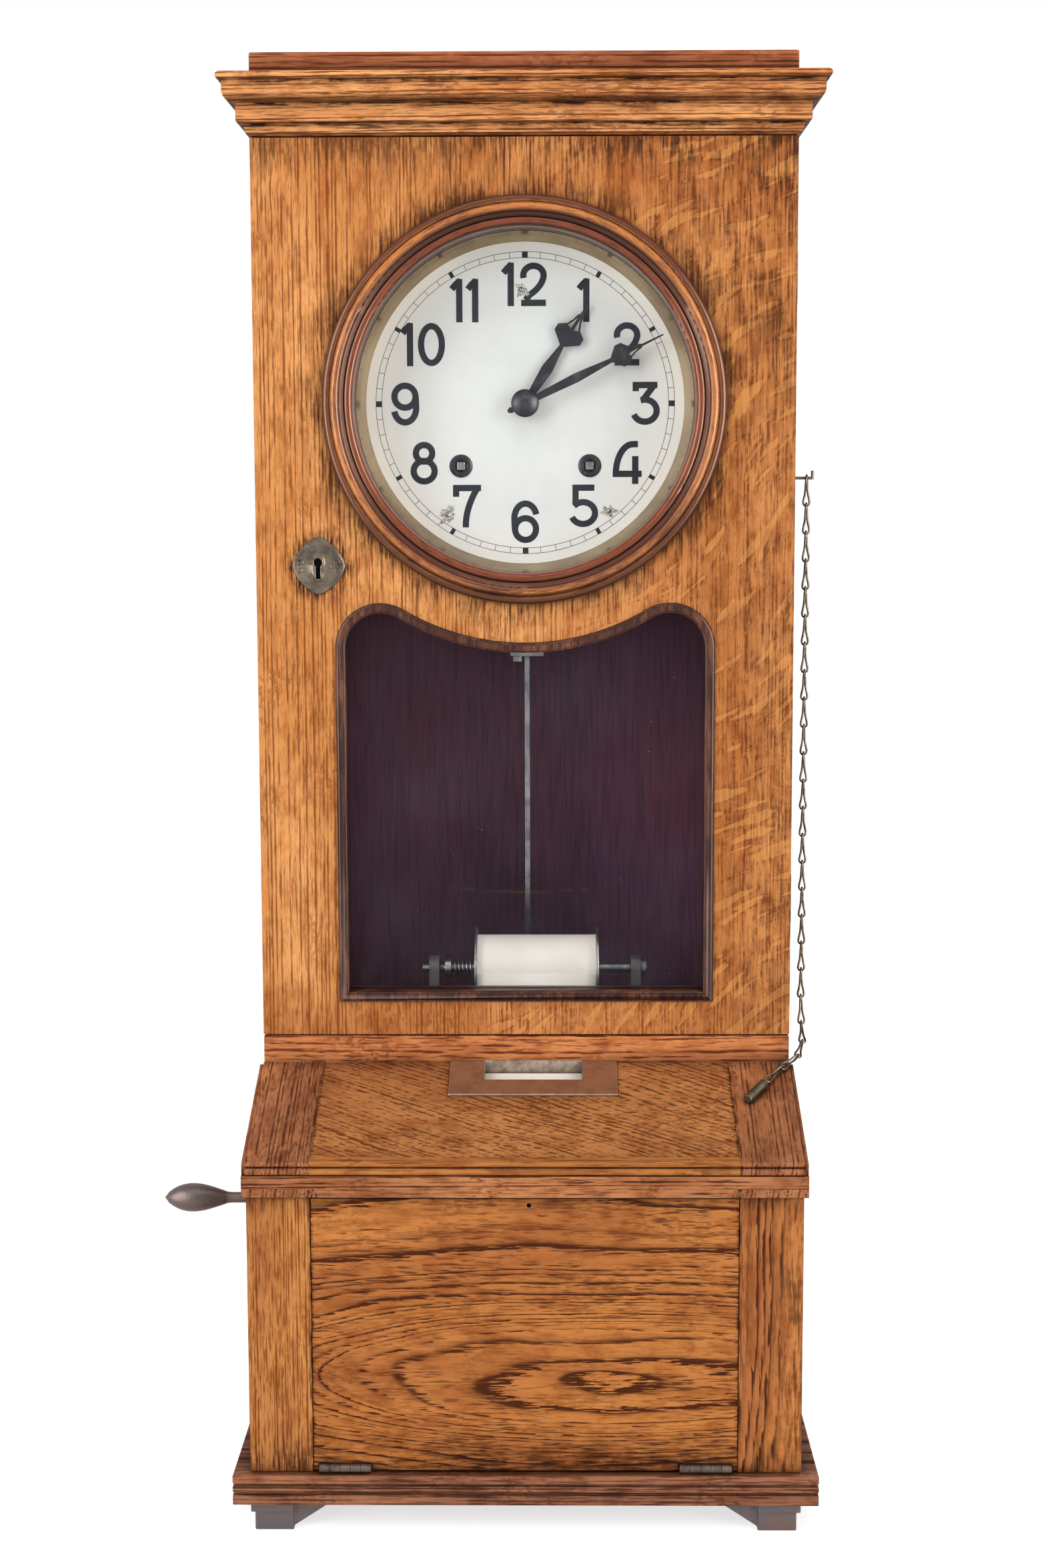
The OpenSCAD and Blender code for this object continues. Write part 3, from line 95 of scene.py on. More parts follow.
def make_camera():
    data = bpy.data.cameras.new("front_camera")
    data.sensor_width = SENSOR
    data.lens = LENS
    data.clip_end = 60.0
    camera = bpy.data.objects.new("front_camera", data)
    SCENE.collection.objects.link(camera)
    turn = Matrix.Rotation(math.radians(YAW), 4, "Z")
    turn = turn @ Matrix.Rotation(math.radians(PITCH), 4, "X")
    turn = turn @ Matrix.Rotation(math.radians(ROLL), 4, "Z")
    camera.matrix_world = Matrix.Translation(EYE) @ turn
    SCENE.camera = camera


make_camera()


# Finishes

def tint(code):
    """Linear colour of a six-digit sRGB code."""
    channels = [int(code[i:i + 2], 16) / 255 for i in (0, 2, 4)]
    linear = [c / 12.92 if c <= 0.04045 else ((c + 0.055) / 1.055) ** 2.4 for c in channels]
    return (*linear, 1.0)


ROUGH_SPAN = (0.3, 0.7)


class Finish:
    """A material while it is being built, with short calls for the nodes that it is built from."""

    def __init__(self, name, roughness=0.5, metallic=0.0, coat=0.0, coat_roughness=0.2, gleam=0.5):
        self.material = bpy.data.materials.new(name)
        self.material.use_nodes = True
        self.tree = self.material.node_tree
        self.shader = self.tree.nodes["Principled BSDF"]
        constants = {
            "Roughness": roughness, "Metallic": metallic, "Specular IOR Level": gleam,
            "Coat Weight": coat, "Coat Roughness": coat_roughness,
        }
        for key, value in constants.items():
            self.shader.inputs[key].default_value = value
        here = self.tree.nodes.new("ShaderNodeTexCoord")
        self.place = here.outputs["Object"]
        self.facing = here.outputs["Normal"]

    def feed(self, socket, value):
        """Gives a socket another socket's value, a colour from its code, or a constant."""
        if isinstance(value, bpy.types.NodeSocket):
            self.tree.links.new(value, socket)
        else:
            socket.default_value = tint(value) if isinstance(value, str) else value

    def add(self, kind, inputs, **settings):
        node = self.tree.nodes.new(kind)
        for key, value in settings.items():
            setattr(node, key, value)
        for key, value in inputs.items():
            self.feed(node.inputs[key], value)
        return node

    def mapped(self, vector, shift=(0, 0, 0), turn=(0, 0, 0), stretch=(1, 1, 1)):
        turn = [math.radians(a) for a in turn]
        inputs = {"Vector": vector, "Location": shift, "Rotation": turn, "Scale": stretch}
        return self.add("ShaderNodeMapping", inputs).outputs[0]

    def noise(self, vector, scale, detail=2.0, roughness=0.5, distortion=0.0):
        inputs = {"Vector": vector, "Scale": scale, "Detail": detail}
        inputs |= {"Roughness": roughness, "Distortion": distortion}
        return self.add("ShaderNodeTexNoise", inputs).outputs[0]

    def sum(self, operation, first, second=0.0, third=0.0):
        inputs = {0: first, 1: second, 2: third}
        return self.add("ShaderNodeMath", inputs, operation=operation).outputs[0]

    def scaled(self, value, factor, more):
        return self.sum("MULTIPLY_ADD", value, factor, more)

    def times(self, first, *others):
        for other in others:
            first = self.sum("MULTIPLY", first, other)
        return first

    def most(self, first, *others):
        for other in others:
            first = self.sum("MAXIMUM", first, other)
        return first

    def cloud(self, *noise):
        return self.noise(self.place, *noise)

    def drawn(self, vector, share, *noise):
        """Noise that is drawn out along Z, where the place counts only by a share."""
        return self.noise(self.mapped(vector, stretch=(1, 1, share)), *noise)

    def join(self, x, y, z=0.0):
        return self.add("ShaderNodeCombineXYZ", {0: x, 1: y, 2: z}).outputs[0]

    def split(self, vector):
        return self.add("ShaderNodeSeparateXYZ", {0: vector}).outputs

    def span(self, value, low, high, start=0.0, end=1.0):
        """Runs smoothly from start to end as the value goes from low to high."""
        inputs = {"Value": value, "From Min": low, "From Max": high, "To Min": start, "To Max": end}
        return self.add("ShaderNodeMapRange", inputs, interpolation_type="SMOOTHSTEP").outputs[0]

    def mix(self, factor, first, second, blend="MIX"):
        inputs = {0: factor, 6: first, 7: second}
        return self.add("ShaderNodeMix", inputs, data_type="RGBA", blend_type=blend).outputs[2]

    def far(self, centre, flat=(1, 0, 1)):
        """Distance from an axis through a point, measured across the axis."""
        shift = [-c * f for c, f in zip(centre, flat)]
        near = self.mapped(self.place, shift=shift, stretch=flat)
        return self.add("ShaderNodeVectorMath", {0: near}, operation="LENGTH").outputs["Value"]

    def corners(self, reach):
        """One in the open, falling to zero in corners and beside other pieces."""
        return self.add("ShaderNodeAmbientOcclusion", {"Distance": reach}, samples=6).outputs["AO"]

    def finish(self, colour, roughness=None, height=None, depth=0.0003, strength=0.5):
        """Roughness is a socket, or a noise with the roughness at its low and its high."""
        self.feed(self.shader.inputs["Base Color"], colour)
        if isinstance(roughness, tuple):
            roughness = self.span(roughness[0], *ROUGH_SPAN, *roughness[1:])
        if roughness is not None:
            self.feed(self.shader.inputs["Roughness"], roughness)
        if height is not None:
            inputs = {"Height": height, "Distance": depth, "Strength": strength}
            self.feed(self.shader.inputs["Normal"], self.add("ShaderNodeBump", inputs).outputs[0])
        return self.material


ALONG_Z = (0, 0, 0)
ALONG_X = (0, 90, 0)
ALONG_Y = (90, 0, 0)


# How boards are sawn. Ring is the spacing of the growth rings in millimetres; wander, uneven and jag
# say how far they stray; rise and fall are the shares of a ring over which its pores thicken and thin;
# dash is the scale of the pores and their share along the grain; weight and open_grain say how many
# show; stain, dark and spotted how strongly rings, pores and loose specks colour the wood.
QUARTERED = {
    "ring": 2.7, "wander": 3.5, "uneven": 0.75, "jag": 0.45, "rise": 0.30, "fall": 0.50,
    "dash": (700.0, 0.075), "weight": 0.34, "open_grain": (0.62, 0.79),
    "stain": 0.45, "dark": 0.8, "spotted": 0.7,
}
SLASHED = {
    "ring": 6.5, "wander": 4.0, "uneven": 0.85, "jag": 1.2, "rise": 0.12, "fall": 0.60,
    "dash": (620.0, 0.085), "weight": 0.42, "open_grain": (0.70, 0.90),
    "stain": 0.85, "dark": 0.85, "spotted": 0.4,
}
OAK_GLOSS = 0.45
SEED_STEPS = (1.0, 0.7, 1.3)
RINGS_THROUGH = 60.0
YEARS_APART = 2.6
SPECK_FINENESS = 1.5
DEEPENED = (0.66, 0.53, 0.45, 1.0)
# Dark brown of dirt, also laid on as painted shade in corners and on undersides
GRIME_AND_SHADE = "270e07"
FLECK = "e09a55"

# Noise as share along the grain, scale, detail and roughness
SLOW_DRIFT = (0.14, 9.0, 2.0)
POROUS = (0.3, 24.0, 2.0)
SPOTS = (0.45, 430.0, 2.0)
TONE = (0.2, 18.0, 4.0, 0.6)
MOTTLE = (0.4, 110.0, 5.0, 0.65)


def growth(f, lie, cut, seed, eye, crowded, eddy, eddy_size):
    """The growth ring's number at each place, and a place for noise that changes ring by ring."""
    across, through, _ = f.split(lie)
    spread = f.far(*eye) if eye else across
    drift = f.times(f.drawn(lie, *SLOW_DRIFT), cut["wander"])
    rings = f.scaled(spread, 1 / (cut["ring"] * MM), drift)
    rings = f.scaled(through, RINGS_THROUGH, rings)
    for start, end, count in crowded:
        rings = f.sum("ADD", rings, f.span(spread, start, end, 0.0, count))
    if eddy:
        size, flow = eddy_size
        rings = f.scaled(f.drawn(lie, flow, size, 3.0, 0.42, 0.3), eddy, rings)
    year = f.join(rings, seed)
    rings = f.scaled(f.noise(year, 0.45, 1.0), YEARS_APART * cut["uneven"], rings)
    return rings, year


def pores(f, lie, cut, rings, year):
    """Dark pores in dashes, the swell of each ring that they lie on, and the noise of the dashes."""
    size, length = cut["dash"]
    dashes = f.drawn(lie, length, size, 2.0, 0.55)
    phase = f.sum("FRACT", f.scaled(dashes, cut["jag"], rings))
    peak = cut["rise"]
    crest = f.times(
        f.span(phase, 0.0, peak),
        f.span(phase, peak, peak + cut["fall"], 1.0, 0.0),
        f.span(f.noise(year, 0.9, 0.0), 0.34, 0.62, 1.0 - cut["uneven"], 1.0),
    )
    lines = f.span(f.scaled(crest, cut["weight"], dashes), *cut["open_grain"])
    specks = f.times(
        f.span(f.drawn(lie, length, size * SPECK_FINENESS, 1.0), 0.53, 0.68),
        f.span(f.drawn(lie, *POROUS), 0.38, 0.60, 0.25, 0.85),
    )
    spots = f.times(
        f.span(f.drawn(lie, *SPOTS), 0.50, 0.62),
        f.span(f.noise(lie, 26.0, 3.0), 0.50, 0.66, 0.0, cut["spotted"]),
    )
    return f.most(lines, specks, spots), crest, dashes


def dirt(f, lie, dashes, smudge, soot_and_shadow):
    """Painted shade in corners and on undersides, smudges, and in the grain the darkening that the
    given function gives, which under the cornice is painted shadow.
    """
    blotch = f.noise(lie, 34.0, 5.0, 0.7)
    # Painted shade in corners and beside other pieces, broken up by blotches
    corner = f.span(f.corners(0.016), 0.50, 0.97, 1.0, 0.0)
    corner = f.times(corner, f.span(blotch, 0.25, 0.60, 0.55, 1.0))
    # Painted shade on faces that turn downwards, broken up by blotches
    below = f.span(f.split(f.facing)[2], -0.95, -0.30, 1.0, 0.0)
    below = f.times(below, f.span(blotch, 0.25, 0.55, 0.6, 1.0))
    darkening = f.most(corner, below)
    if soot_and_shadow:
        darkening = f.most(darkening, f.times(soot_and_shadow(f), f.span(f.sum("ADD", blotch, dashes), 0.84, 1.16)))
    return f.most(darkening, f.span(blotch, 0.56, 0.74, 0.0, smudge))


def oak(
    name, light, deep, pore, sawn=QUARTERED, turn=ALONG_Z, seed=0.0, eye=None, crowded=(),
    eddy=0.0, eddy_size=(8.0, 0.3), flecks=None, smudge=0.3, soot_and_shadow=None, shade=None, **differing,
):
    """Open-grained oak: dark pores along the growth rings, pale flecks, smudges, and painted shade in
    the corners.

    The grain runs along Z after turn. The rings close round an eye, given as a point and a flattening,
    where the board was sawn flat, and crowd together between the distances from it that crowded gives
    with their number. Flecks, soiling with painted shadow, and shade are functions that give where
    those lie."""
    cut = sawn | differing
    f = Finish(name, roughness=OAK_GLOSS, coat=0.02, coat_roughness=0.25, gleam=0.05)
    lie = f.mapped(f.place, shift=[seed * step for step in SEED_STEPS], turn=turn)
    rings, year = growth(f, lie, cut, seed, eye, crowded, eddy, eddy_size)
    lines, crest, dashes = pores(f, lie, cut, rings, year)
    colour = f.mix(f.span(f.drawn(lie, *TONE), 0.32, 0.70), light, deep)
    if shade:
        colour = f.mix(shade(f), colour, DEEPENED, "MULTIPLY")
    colour = f.mix(f.span(f.drawn(lie, *MOTTLE), 0.44, 0.64, 0.0, 0.75), colour, DEEPENED, "MULTIPLY")
    if flecks:
        rays, fringe, broken = flecks(f)
        lines = f.times(lines, broken, f.scaled(rays, -0.85, 1.0))
        lines = f.most(lines, f.times(fringe, f.span(dashes, 0.44, 0.62)))
        colour = f.mix(f.times(rays, 0.55), colour, FLECK)
    stain = f.span(dashes, 0.34, 0.60, 0.3 * cut["stain"], cut["stain"])
    colour = f.mix(f.times(crest, stain), colour, pore)
    colour = f.mix(f.times(lines, cut["dark"]), colour, pore)
    # Smudges and joint dirt, painted shade in corners and on undersides, and painted shadow under the
    # cornice
    colour = f.mix(f.times(dirt(f, lie, dashes, smudge, soot_and_shadow), 0.85), colour, GRIME_AND_SHADE)
    rough = f.scaled(lines, 0.25, OAK_GLOSS)
    return f.finish(colour, rough, f.sum("SUBTRACT", 1.0, lines), 0.0004, 0.45)


# Flecks lean by an angle in degrees, and wave over a length by a height in metres
FLECK_LEAN = -52
FLECK_WAVE = 0.26
FLECK_SWAY = 0.014


def door_flecks(f):
    """Smooth wavy rays that lean up to the right, most of them in the right half, their dark fringes,
    and how far small flakes break the lines of pores."""
    x, _, _ = f.split(f.place)
    across, _, along = f.split(f.mapped(f.place, turn=(0, FLECK_LEAN, 0)))
    wave = f.sum("SINE", f.times(along, math.tau / FLECK_WAVE))
    across = f.scaled(wave, FLECK_SWAY, across)
    flow = f.join(across, f.times(along, 0.2))
    ragged = f.times(f.drawn(f.place, 0.3, 700.0), 0.09)
    drift = f.sum("ADD", f.noise(flow, 120.0, 1.8, 0.45), ragged)
    where = f.scaled(f.cloud(11.0, 1.0), 0.4, x)
    where = f.span(where, 0.14, 0.26, 0.1, 1.0)
    rays = f.times(f.span(drift, 0.615, 0.655), where)
    rim = f.times(f.span(drift, 0.53, 0.59), f.span(drift, 0.615, 0.635, 1.0, 0.0))
    flaky = f.mapped(f.place, turn=(0, FLECK_LEAN / 2, 0), stretch=(0.6, 1, 1))
    flaky = f.span(f.noise(flaky, 300.0, 3.0, 0.6), 0.46, 0.58, -0.85, 0.0)
    broken = f.scaled(flaky, f.times(where, 0.9), 1.0)
    return rays, f.times(rim, where), broken


# Where boards are darker, with dirt, and with painted shadow under the cornice: two places in metres,
# and the strengths at them
RIGHT_SHADE = (0.03, 0.17, 0.0, 0.7)
TOP_SHADE = (0.840, 0.920, 0.0, 1.0)
TOP_SHADE_ACROSS = (-0.12, 0.12, 0.2, 1.0)
LOW_SHADE = (0.36, 0.42, 0.75, 0.0)
RING_SOOT = (0.134, 0.158, 1.0, 0.0)
# Painted shadow of the cornice, with soiling, across the door's top
TOP_SHADOW_AND_SOOT = (0.870, 0.905, 0.0, 1.0)
TOP_SHADOW_AND_SOOT_ACROSS = (-0.12, 0.12, 0.7, 1.0)
RIGHT_SOOT = (0.06, 0.17)
RIGHT_SOOT_UP = (0.72, 0.86, 0.40, 0.80)
LOCK_SOOT = (0.018, 0.029, 1.1, 0.0)
JOINT_SOOT = (0.0, 0.0028, 1.1, 0.0)
FOOT_SOOT = (BASE_TOP, BASE_TOP + 0.035, 1.0, 0.0)
HEAD_SOOT = (BASE_TOP + 0.170, BASE_TOP + 0.186, 0.0, 0.8)
EDGE_SOOT = (0.150, 0.178, 0.0, 0.8)
# Heights of the cornice's overhangs above the door, and how far the painted shadow goes below and
# above each
OVERHANGS = (0.0344, 0.0209, 0.0083)
SHADOW_BELOW = 0.0045
SHADOW_ABOVE = 0.0008


def door_shade(f):
    """The door is darker towards its right-hand side, its top and its foot."""
    x, _, z = f.split(f.place)
    uneven = f.cloud(8.0, 3.0)
    ragged = f.scaled(uneven, 0.10, z)
    right = f.span(f.scaled(uneven, 0.12, x), *RIGHT_SHADE)
    top = f.times(f.span(ragged, *TOP_SHADE), f.span(x, *TOP_SHADE_ACROSS))
    return f.most(right, top, f.span(ragged, *LOW_SHADE))


def dial_soot(f):
    """Dirt round the dial's ring and the lock plate and at the right, and painted shadow with soiling
    under the cornice.
    """
    x, _, z = f.split(f.place)
    ring = f.span(f.far(DIAL_CENTRE), *RING_SOOT)
    # Painted shadow of the cornice across the door's top, with soiling, strongest at the right
    top = f.times(f.span(z, *TOP_SHADOW_AND_SOOT), f.span(x, *TOP_SHADOW_AND_SOOT_ACROSS))
    right = f.span(x, *RIGHT_SOOT, 0.0, f.span(z, *RIGHT_SOOT_UP))
    return f.most(ring, top, right, f.span(f.far(LOCK_CENTRE), *LOCK_SOOT))


def cornice_soot(f):
    """Painted shadow under each of the cornice's overhangs."""
    _, _, z = f.split(f.place)
    bands = []
    for height in OVERHANGS:
        edge = DOOR_HIGH.z + height
        above = f.span(z, edge, edge + SHADOW_ABOVE, 1.3, 0.0)
        bands.append(f.times(f.span(z, edge - SHADOW_BELOW, edge), above))
    return f.most(*bands)


def joint_soot(f):
    """Dirt in the joints between the middle panels and the stiles and cleats beside them."""
    x, _, _ = f.split(f.place)
    away = f.sum("ABSOLUTE", f.sum("SUBTRACT", f.sum("ABSOLUTE", x), JOINT_OUT))
    return f.span(away, *JOINT_SOOT)


def box_soot(f):
    """Dirt along the foot and the head of the lower box, up its right-hand edge and in its joints."""
    x, _, z = f.split(f.place)
    return f.most(f.span(z, *FOOT_SOOT), f.span(z, *HEAD_SOOT), f.span(x, *EDGE_SOOT), joint_soot(f))


def mahogany(name):
    """Dark red-brown polished moulding, rubbed pale along its edges, with painted shade in its
    corners.
    """
    f = Finish(name, coat=0.12, coat_roughness=0.3, gleam=0.15)
    streak = f.drawn(f.place, 0.08, 420.0, 3.0, 0.6)
    wear = f.drawn(f.place, 0.3, 40.0, 5.0, 0.65)
    colour = f.mix(f.span(wear, 0.42, 0.68), "4d281d", "85523a")
    colour = f.mix(f.span(streak, 0.46, 0.60, 0.0, 0.8), colour, "2c130b")
    # Painted shade in corners and beside other pieces
    colour = f.mix(f.span(f.corners(0.008), 0.55, 0.97, 0.9, 0.0), colour, "180a07")
    return f.finish(colour, (wear, 0.30, 0.44), streak, 0.0002, 0.3)


# Radii of the dial ring's parts, over which one finish passes into the next
RING_INSIDE = (0.1165, 0.1205)
RING_SWELL = (0.1225, 0.1265)
RING_SWELL_END = (0.1290, 0.1315, 1.0, 0.0)
RING_RIM = (0.1290, 0.1320)


def ring_mahogany(name):
    """The dial's turned ring: gold on its rubbed swell, purple-brown in the hollow, red inside, with
    painted shade on its undersides and in its corners.
    """
    f = Finish(name, coat=0.2, coat_roughness=0.2, gleam=0.4)
    f.shader.inputs["Specular Tint"].default_value = tint("ffc79c")
    x, depth, z = f.split(f.mapped(f.place, shift=-DIAL_CENTRE))
    radius = f.far(DIAL_CENTRE)
    angle = f.sum("ARCTAN2", z, x)
    streak = f.noise(f.join(radius, f.times(angle, 0.012), depth), 900.0, 3.0, 0.6)
    drift = f.cloud(14.0, 3.0, 0.6)
    swell = f.times(f.span(radius, *RING_SWELL), f.span(radius, *RING_SWELL_END))
    rubbed = f.times(swell, f.span(f.sum("ADD", streak, drift), 0.76, 1.04))
    colour = f.mix(f.span(radius, *RING_INSIDE), "7d3a23", "5a2d22")
    colour = f.mix(f.span(radius, *RING_RIM), colour, "5c2e20")
    colour = f.mix(rubbed, colour, "c87b41")
    colour = f.mix(f.span(streak, 0.50, 0.66, 0.0, 0.75), colour, "331a14")
    # Painted shade on the ring's undersides and in its corners
    below = f.span(f.split(f.facing)[2], -0.75, -0.10, 0.75, 0.0)
    darkening = f.most(below, f.span(f.corners(0.005), 0.5, 0.95, 0.8, 0.0))
    colour = f.mix(darkening, colour, "1c0d0a")
    return f.finish(colour, (drift, 0.28, 0.42), streak, 0.0002, 0.3)


# The pendulum's scuff: its radius about the rod's top, its half width, and its reach to either side
SCUFF_RADIUS = 0.4395
SCUFF_HALF = 0.0022
SCUFF_REACH = (0.03, 0.075, 1.0, 0.0)


def stained_board(name):
    """Dark stained back, with the scuff that the swinging pendulum left on its front."""
    f = Finish(name, roughness=0.5, gleam=0.12)
    streak = f.drawn(f.place, 0.05, 420.0, 4.0, 0.65)
    drift = f.cloud(7.0, 3.0)
    colour = f.mix(f.span(drift, 0.35, 0.65), "58314a", "643245")
    colour = f.mix(f.span(streak, 0.42, 0.66, 0.0, 0.45), colour, "2a1a24")
    x, _, _ = f.split(f.place)
    pivot = Vector((0, ROD_TOP.y, ROD_TOP.z))
    swing = f.sum("ABSOLUTE", f.sum("SUBTRACT", f.far(pivot), SCUFF_RADIUS))
    scuff = f.times(
        f.span(swing, 0.0, SCUFF_HALF, 1.0, 0.0),
        f.span(f.sum("ABSOLUTE", x), *SCUFF_REACH),
        f.span(f.cloud(160.0, 4.0), 0.38, 0.6),
        f.span(f.split(f.facing)[1], -0.9, -0.8, 1.0, 0.0),
    )
    colour = f.mix(f.times(scuff, 0.65), colour, "8a5638")
    return f.finish(colour, (streak, 0.42, 0.6), streak, 0.0002, 0.25)


def metal(
    name, bright, dull, rough=(0.28, 0.5), metallic=1.0, spots=55.0, filth_and_shade="1a1713", brushed=(1, 1, 1),
):
    """Bare or tarnished metal: two tones in drifting patches, fine scratches, soiling and painted
    shade in the corners.
    """
    f = Finish(name, metallic=metallic)
    patch = f.cloud(spots, 5.0, 0.65)
    fine = f.noise(f.mapped(f.place, stretch=brushed), 900.0, 3.0, 0.6)
    colour = f.mix(f.span(patch, 0.36, 0.66), bright, dull)
    colour = f.mix(f.span(fine, 0.55, 0.75, 0.0, 0.35), colour, dull)
    # Dirt, with painted shade, in corners and beside other pieces
    colour = f.mix(f.span(f.corners(0.004), 0.35, 0.9, 0.75, 0.0), colour, filth_and_shade)
    return f.finish(colour, (patch, *rough), fine, 0.0001, 0.3)


def cast_iron(name, face, rust, rough=(0.45, 0.65)):
    """Grey-black iron with a pebbled skin and a little brown rust."""
    f = Finish(name, metallic=0.55)
    skin = f.cloud(700.0, 4.0, 0.6)
    stain = f.cloud(60.0, 5.0, 0.65)
    colour = f.mix(f.span(stain, 0.44, 0.68), face, rust)
    colour = f.mix(f.span(skin, 0.5, 0.8, 0.0, 0.5), colour, "1d1a1a")
    return f.finish(colour, (stain, *rough), skin, 0.0003, 0.5)


def speckled(name, first, second, spots, tones, rough=(), bump=(), **kind):
    """Two tones in small patches, which may also vary the gloss and the surface."""
    f = Finish(name, **kind)
    patch = f.cloud(*spots)
    colour = f.mix(f.span(patch, *tones), first, second)
    gloss = (patch, *rough) if rough else None
    return f.finish(colour, gloss, patch if bump else None, *bump)


def dial_enamel(name):
    """White dial, whitest at the rim, where painted light offsets the ring's shadow, and smudged near
    the middle.
    """
    f = Finish(name, coat=0.3, coat_roughness=0.15)
    smudge = f.cloud(28.0, 5.0, 0.6)
    grit = f.cloud(420.0, 3.0, 0.6)
    # Painted light: whiter towards the rim, against the shadow that the ring casts
    rim = f.span(f.far(DIAL_CENTRE), 0.065, 0.100)
    colour = f.mix(f.span(smudge, 0.35, 0.75), "eaeeea", "e3e6e1")
    colour = f.mix(rim, colour, "f8fbf8")
    colour = f.mix(f.span(grit, 0.68, 0.80, 0.0, 0.35), colour, "b9b4a6")
    return f.finish(colour, (smudge, 0.28, 0.42), grit, 0.00005, 0.2)


def paper(name):
    """Matt white recording paper with faint fibres."""
    f = Finish(name)
    fibre = f.noise(f.mapped(f.place, stretch=(0.2, 1, 1)), 900.0, 4.0, 0.7)
    age = f.cloud(22.0, 3.0)
    colour = f.mix(f.span(age, 0.3, 0.7), "f6f0e8", "ece4d9")
    colour = f.mix(f.span(fibre, 0.5, 0.8, 0.0, 0.3), colour, "d3c8ba")
    return f.finish(colour, (fibre, 0.8, 0.95), fibre, 0.0001, 0.2)


def pane(name):
    """Old clear glass with a faint bloom of dust, tinted blue-grey as a painted reflection."""
    f = Finish(name, roughness=0.06)
    dust = f.cloud(16.0, 6.0, 0.7)
    speck = f.span(f.cloud(520.0, 2.0), 0.74, 0.80)
    # Blue-grey haze of dust, its tint a painted reflection
    colour = f.mix(speck, "8f97a8", "d9d6d0")
    dust_and_reflection_haze = f.span(dust, 0.35, 0.75, 0.012, 0.03)
    f.feed(f.shader.inputs["Alpha"], f.most(dust_and_reflection_haze, f.times(speck, 0.3)))
    return f.finish(colour)


UMBER = "74350f"

DOOR_OAK = oak(
    "quartered_oak_door", "f2ab69", "d58b4b", UMBER, seed=0.4,
    dark=0.7, stain=0.38, flecks=door_flecks, soot_and_shadow=dial_soot, shade=door_shade, smudge=0.35,
)
SIDE_OAK = oak(
    "case_side_oak", "cf8845", "b26d35", UMBER, SLASHED, seed=2.1, ring=9.0, eddy=5.0,
)
RAIL_OAK = oak(
    "apron_oak", "e9985b", "c17246", "571f0f",
    turn=ALONG_X, seed=3.3, ring=3.6, wander=6.0, dash=(420, 0.11), dark=0.85,
)
CORNICE_WOOD = ("ffb673", "dc8e53", "4e1d08")
CORNICE_CUT = {
    "ring": 2.4, "wander": 5.0, "dash": (640, 0.07), "open_grain": (0.56, 0.76), "dark": 0.75,
    "smudge": 0.5, "soot_and_shadow": cornice_soot,
}
CORNICE_OAK = oak("cornice_oak", *CORNICE_WOOD, turn=ALONG_X, seed=5.2, **CORNICE_CUT)
RETURN_OAK = oak("cornice_return_oak", *CORNICE_WOOD, turn=ALONG_Y, seed=5.9, **CORNICE_CUT)
TOP_OAK = oak(
    "top_board_oak", "cf7d52", "aa6540", "4a2618",
    turn=ALONG_X, seed=6.4, ring=3.0, dash=(480, 0.05), smudge=0.4,
)
DESK_OAK = oak(
    "desk_board_oak", "d08b52", "ab6b3f", "562a12",
    turn=(0, 74, 0), seed=7.7, ring=2.3, wander=9.0, dash=(460, 0.13), stain=0.25, smudge=0.4,
    soot_and_shadow=joint_soot,
)
CLEAT_OAK = oak(
    "desk_cleat_oak", "cd8556", "a06746", "4a2412",
    turn=(70, 0, 0), seed=8.5, ring=2.6, wander=5.0, dash=(520, 0.12), soot_and_shadow=joint_soot,
)
NOSE_OAK = oak(
    "desk_rail_oak", "cb8656", "985d3f", "3f1b0c",
    turn=ALONG_X, seed=9.1, ring=3.0, wander=5.0, dash=(480, 0.07), weight=0.40, dark=0.9, smudge=0.5,
)
STRIP_OAK = oak(
    "desk_strip_oak", "d58c4e", "b26f3b", "5a3019",
    turn=ALONG_X, seed=9.6, ring=2.2, wander=5.0, dash=(520, 0.05), smudge=0.45,
)
LEFT_STILE_OAK = oak(
    "left_stile_oak", "da9350", "b87542", UMBER, seed=10.4,
    ring=2.0, smudge=0.4, soot_and_shadow=box_soot,
)
RIGHT_STILE_OAK = oak(
    "right_stile_oak", "db8c4d", "b46e3d", "48200d", SLASHED, seed=11.6,
    ring=10.0, eddy=6.0, eddy_size=(14.0, 0.22), smudge=0.5, soot_and_shadow=box_soot,
)
FALL_EYE = (Vector((0.048, 0.0, 0.106)), (0.20, 0.0, 1.0))
FALL_CROWDED = ((0.028, 0.058, 8.0), (0.058, 0.080, 2.5))
FALL_OAK = oak(
    "fall_front_oak", "d08545", "ae6838", "451d0b", SLASHED,
    turn=ALONG_X, seed=12.35, eye=FALL_EYE, ring=11.0, crowded=FALL_CROWDED,
    eddy=4.5, eddy_size=(13.0, 0.28), open_grain=(0.71, 0.85), dark=0.92, smudge=0.35, soot_and_shadow=box_soot,
)
BASE_OAK = oak(
    "base_oak", "b57a58", "875640", "34160c",
    turn=ALONG_X, seed=13.8, ring=3.0, dash=(480, 0.05), smudge=0.5,
)
BEAD_MAHOGANY = mahogany("moulding_mahogany")
RING_MAHOGANY = ring_mahogany("dial_ring_mahogany")
BACK_STAIN = stained_board("stained_back")
SIGHT_BRASS = metal("sight_ring_brass", "a68f6a", "866e4a", (0.15, 0.24), spots=18.0)
OLD_BRASS = metal("tarnished_brass", "665c4e", "3b342c", (0.36, 0.55), metallic=0.75, spots=90.0)
KEYHOLE = speckled(
    "keyhole_dark", "060506", "120e0c", (600.0, 3.0), (0.4, 0.7), bump=(0.0001, 0.3),
    roughness=0.9, gleam=0.05,
)
HINGE_IRON = metal("hinge_iron", "5d5047", "3a302b", (0.4, 0.6), metallic=0.7, spots=160.0)
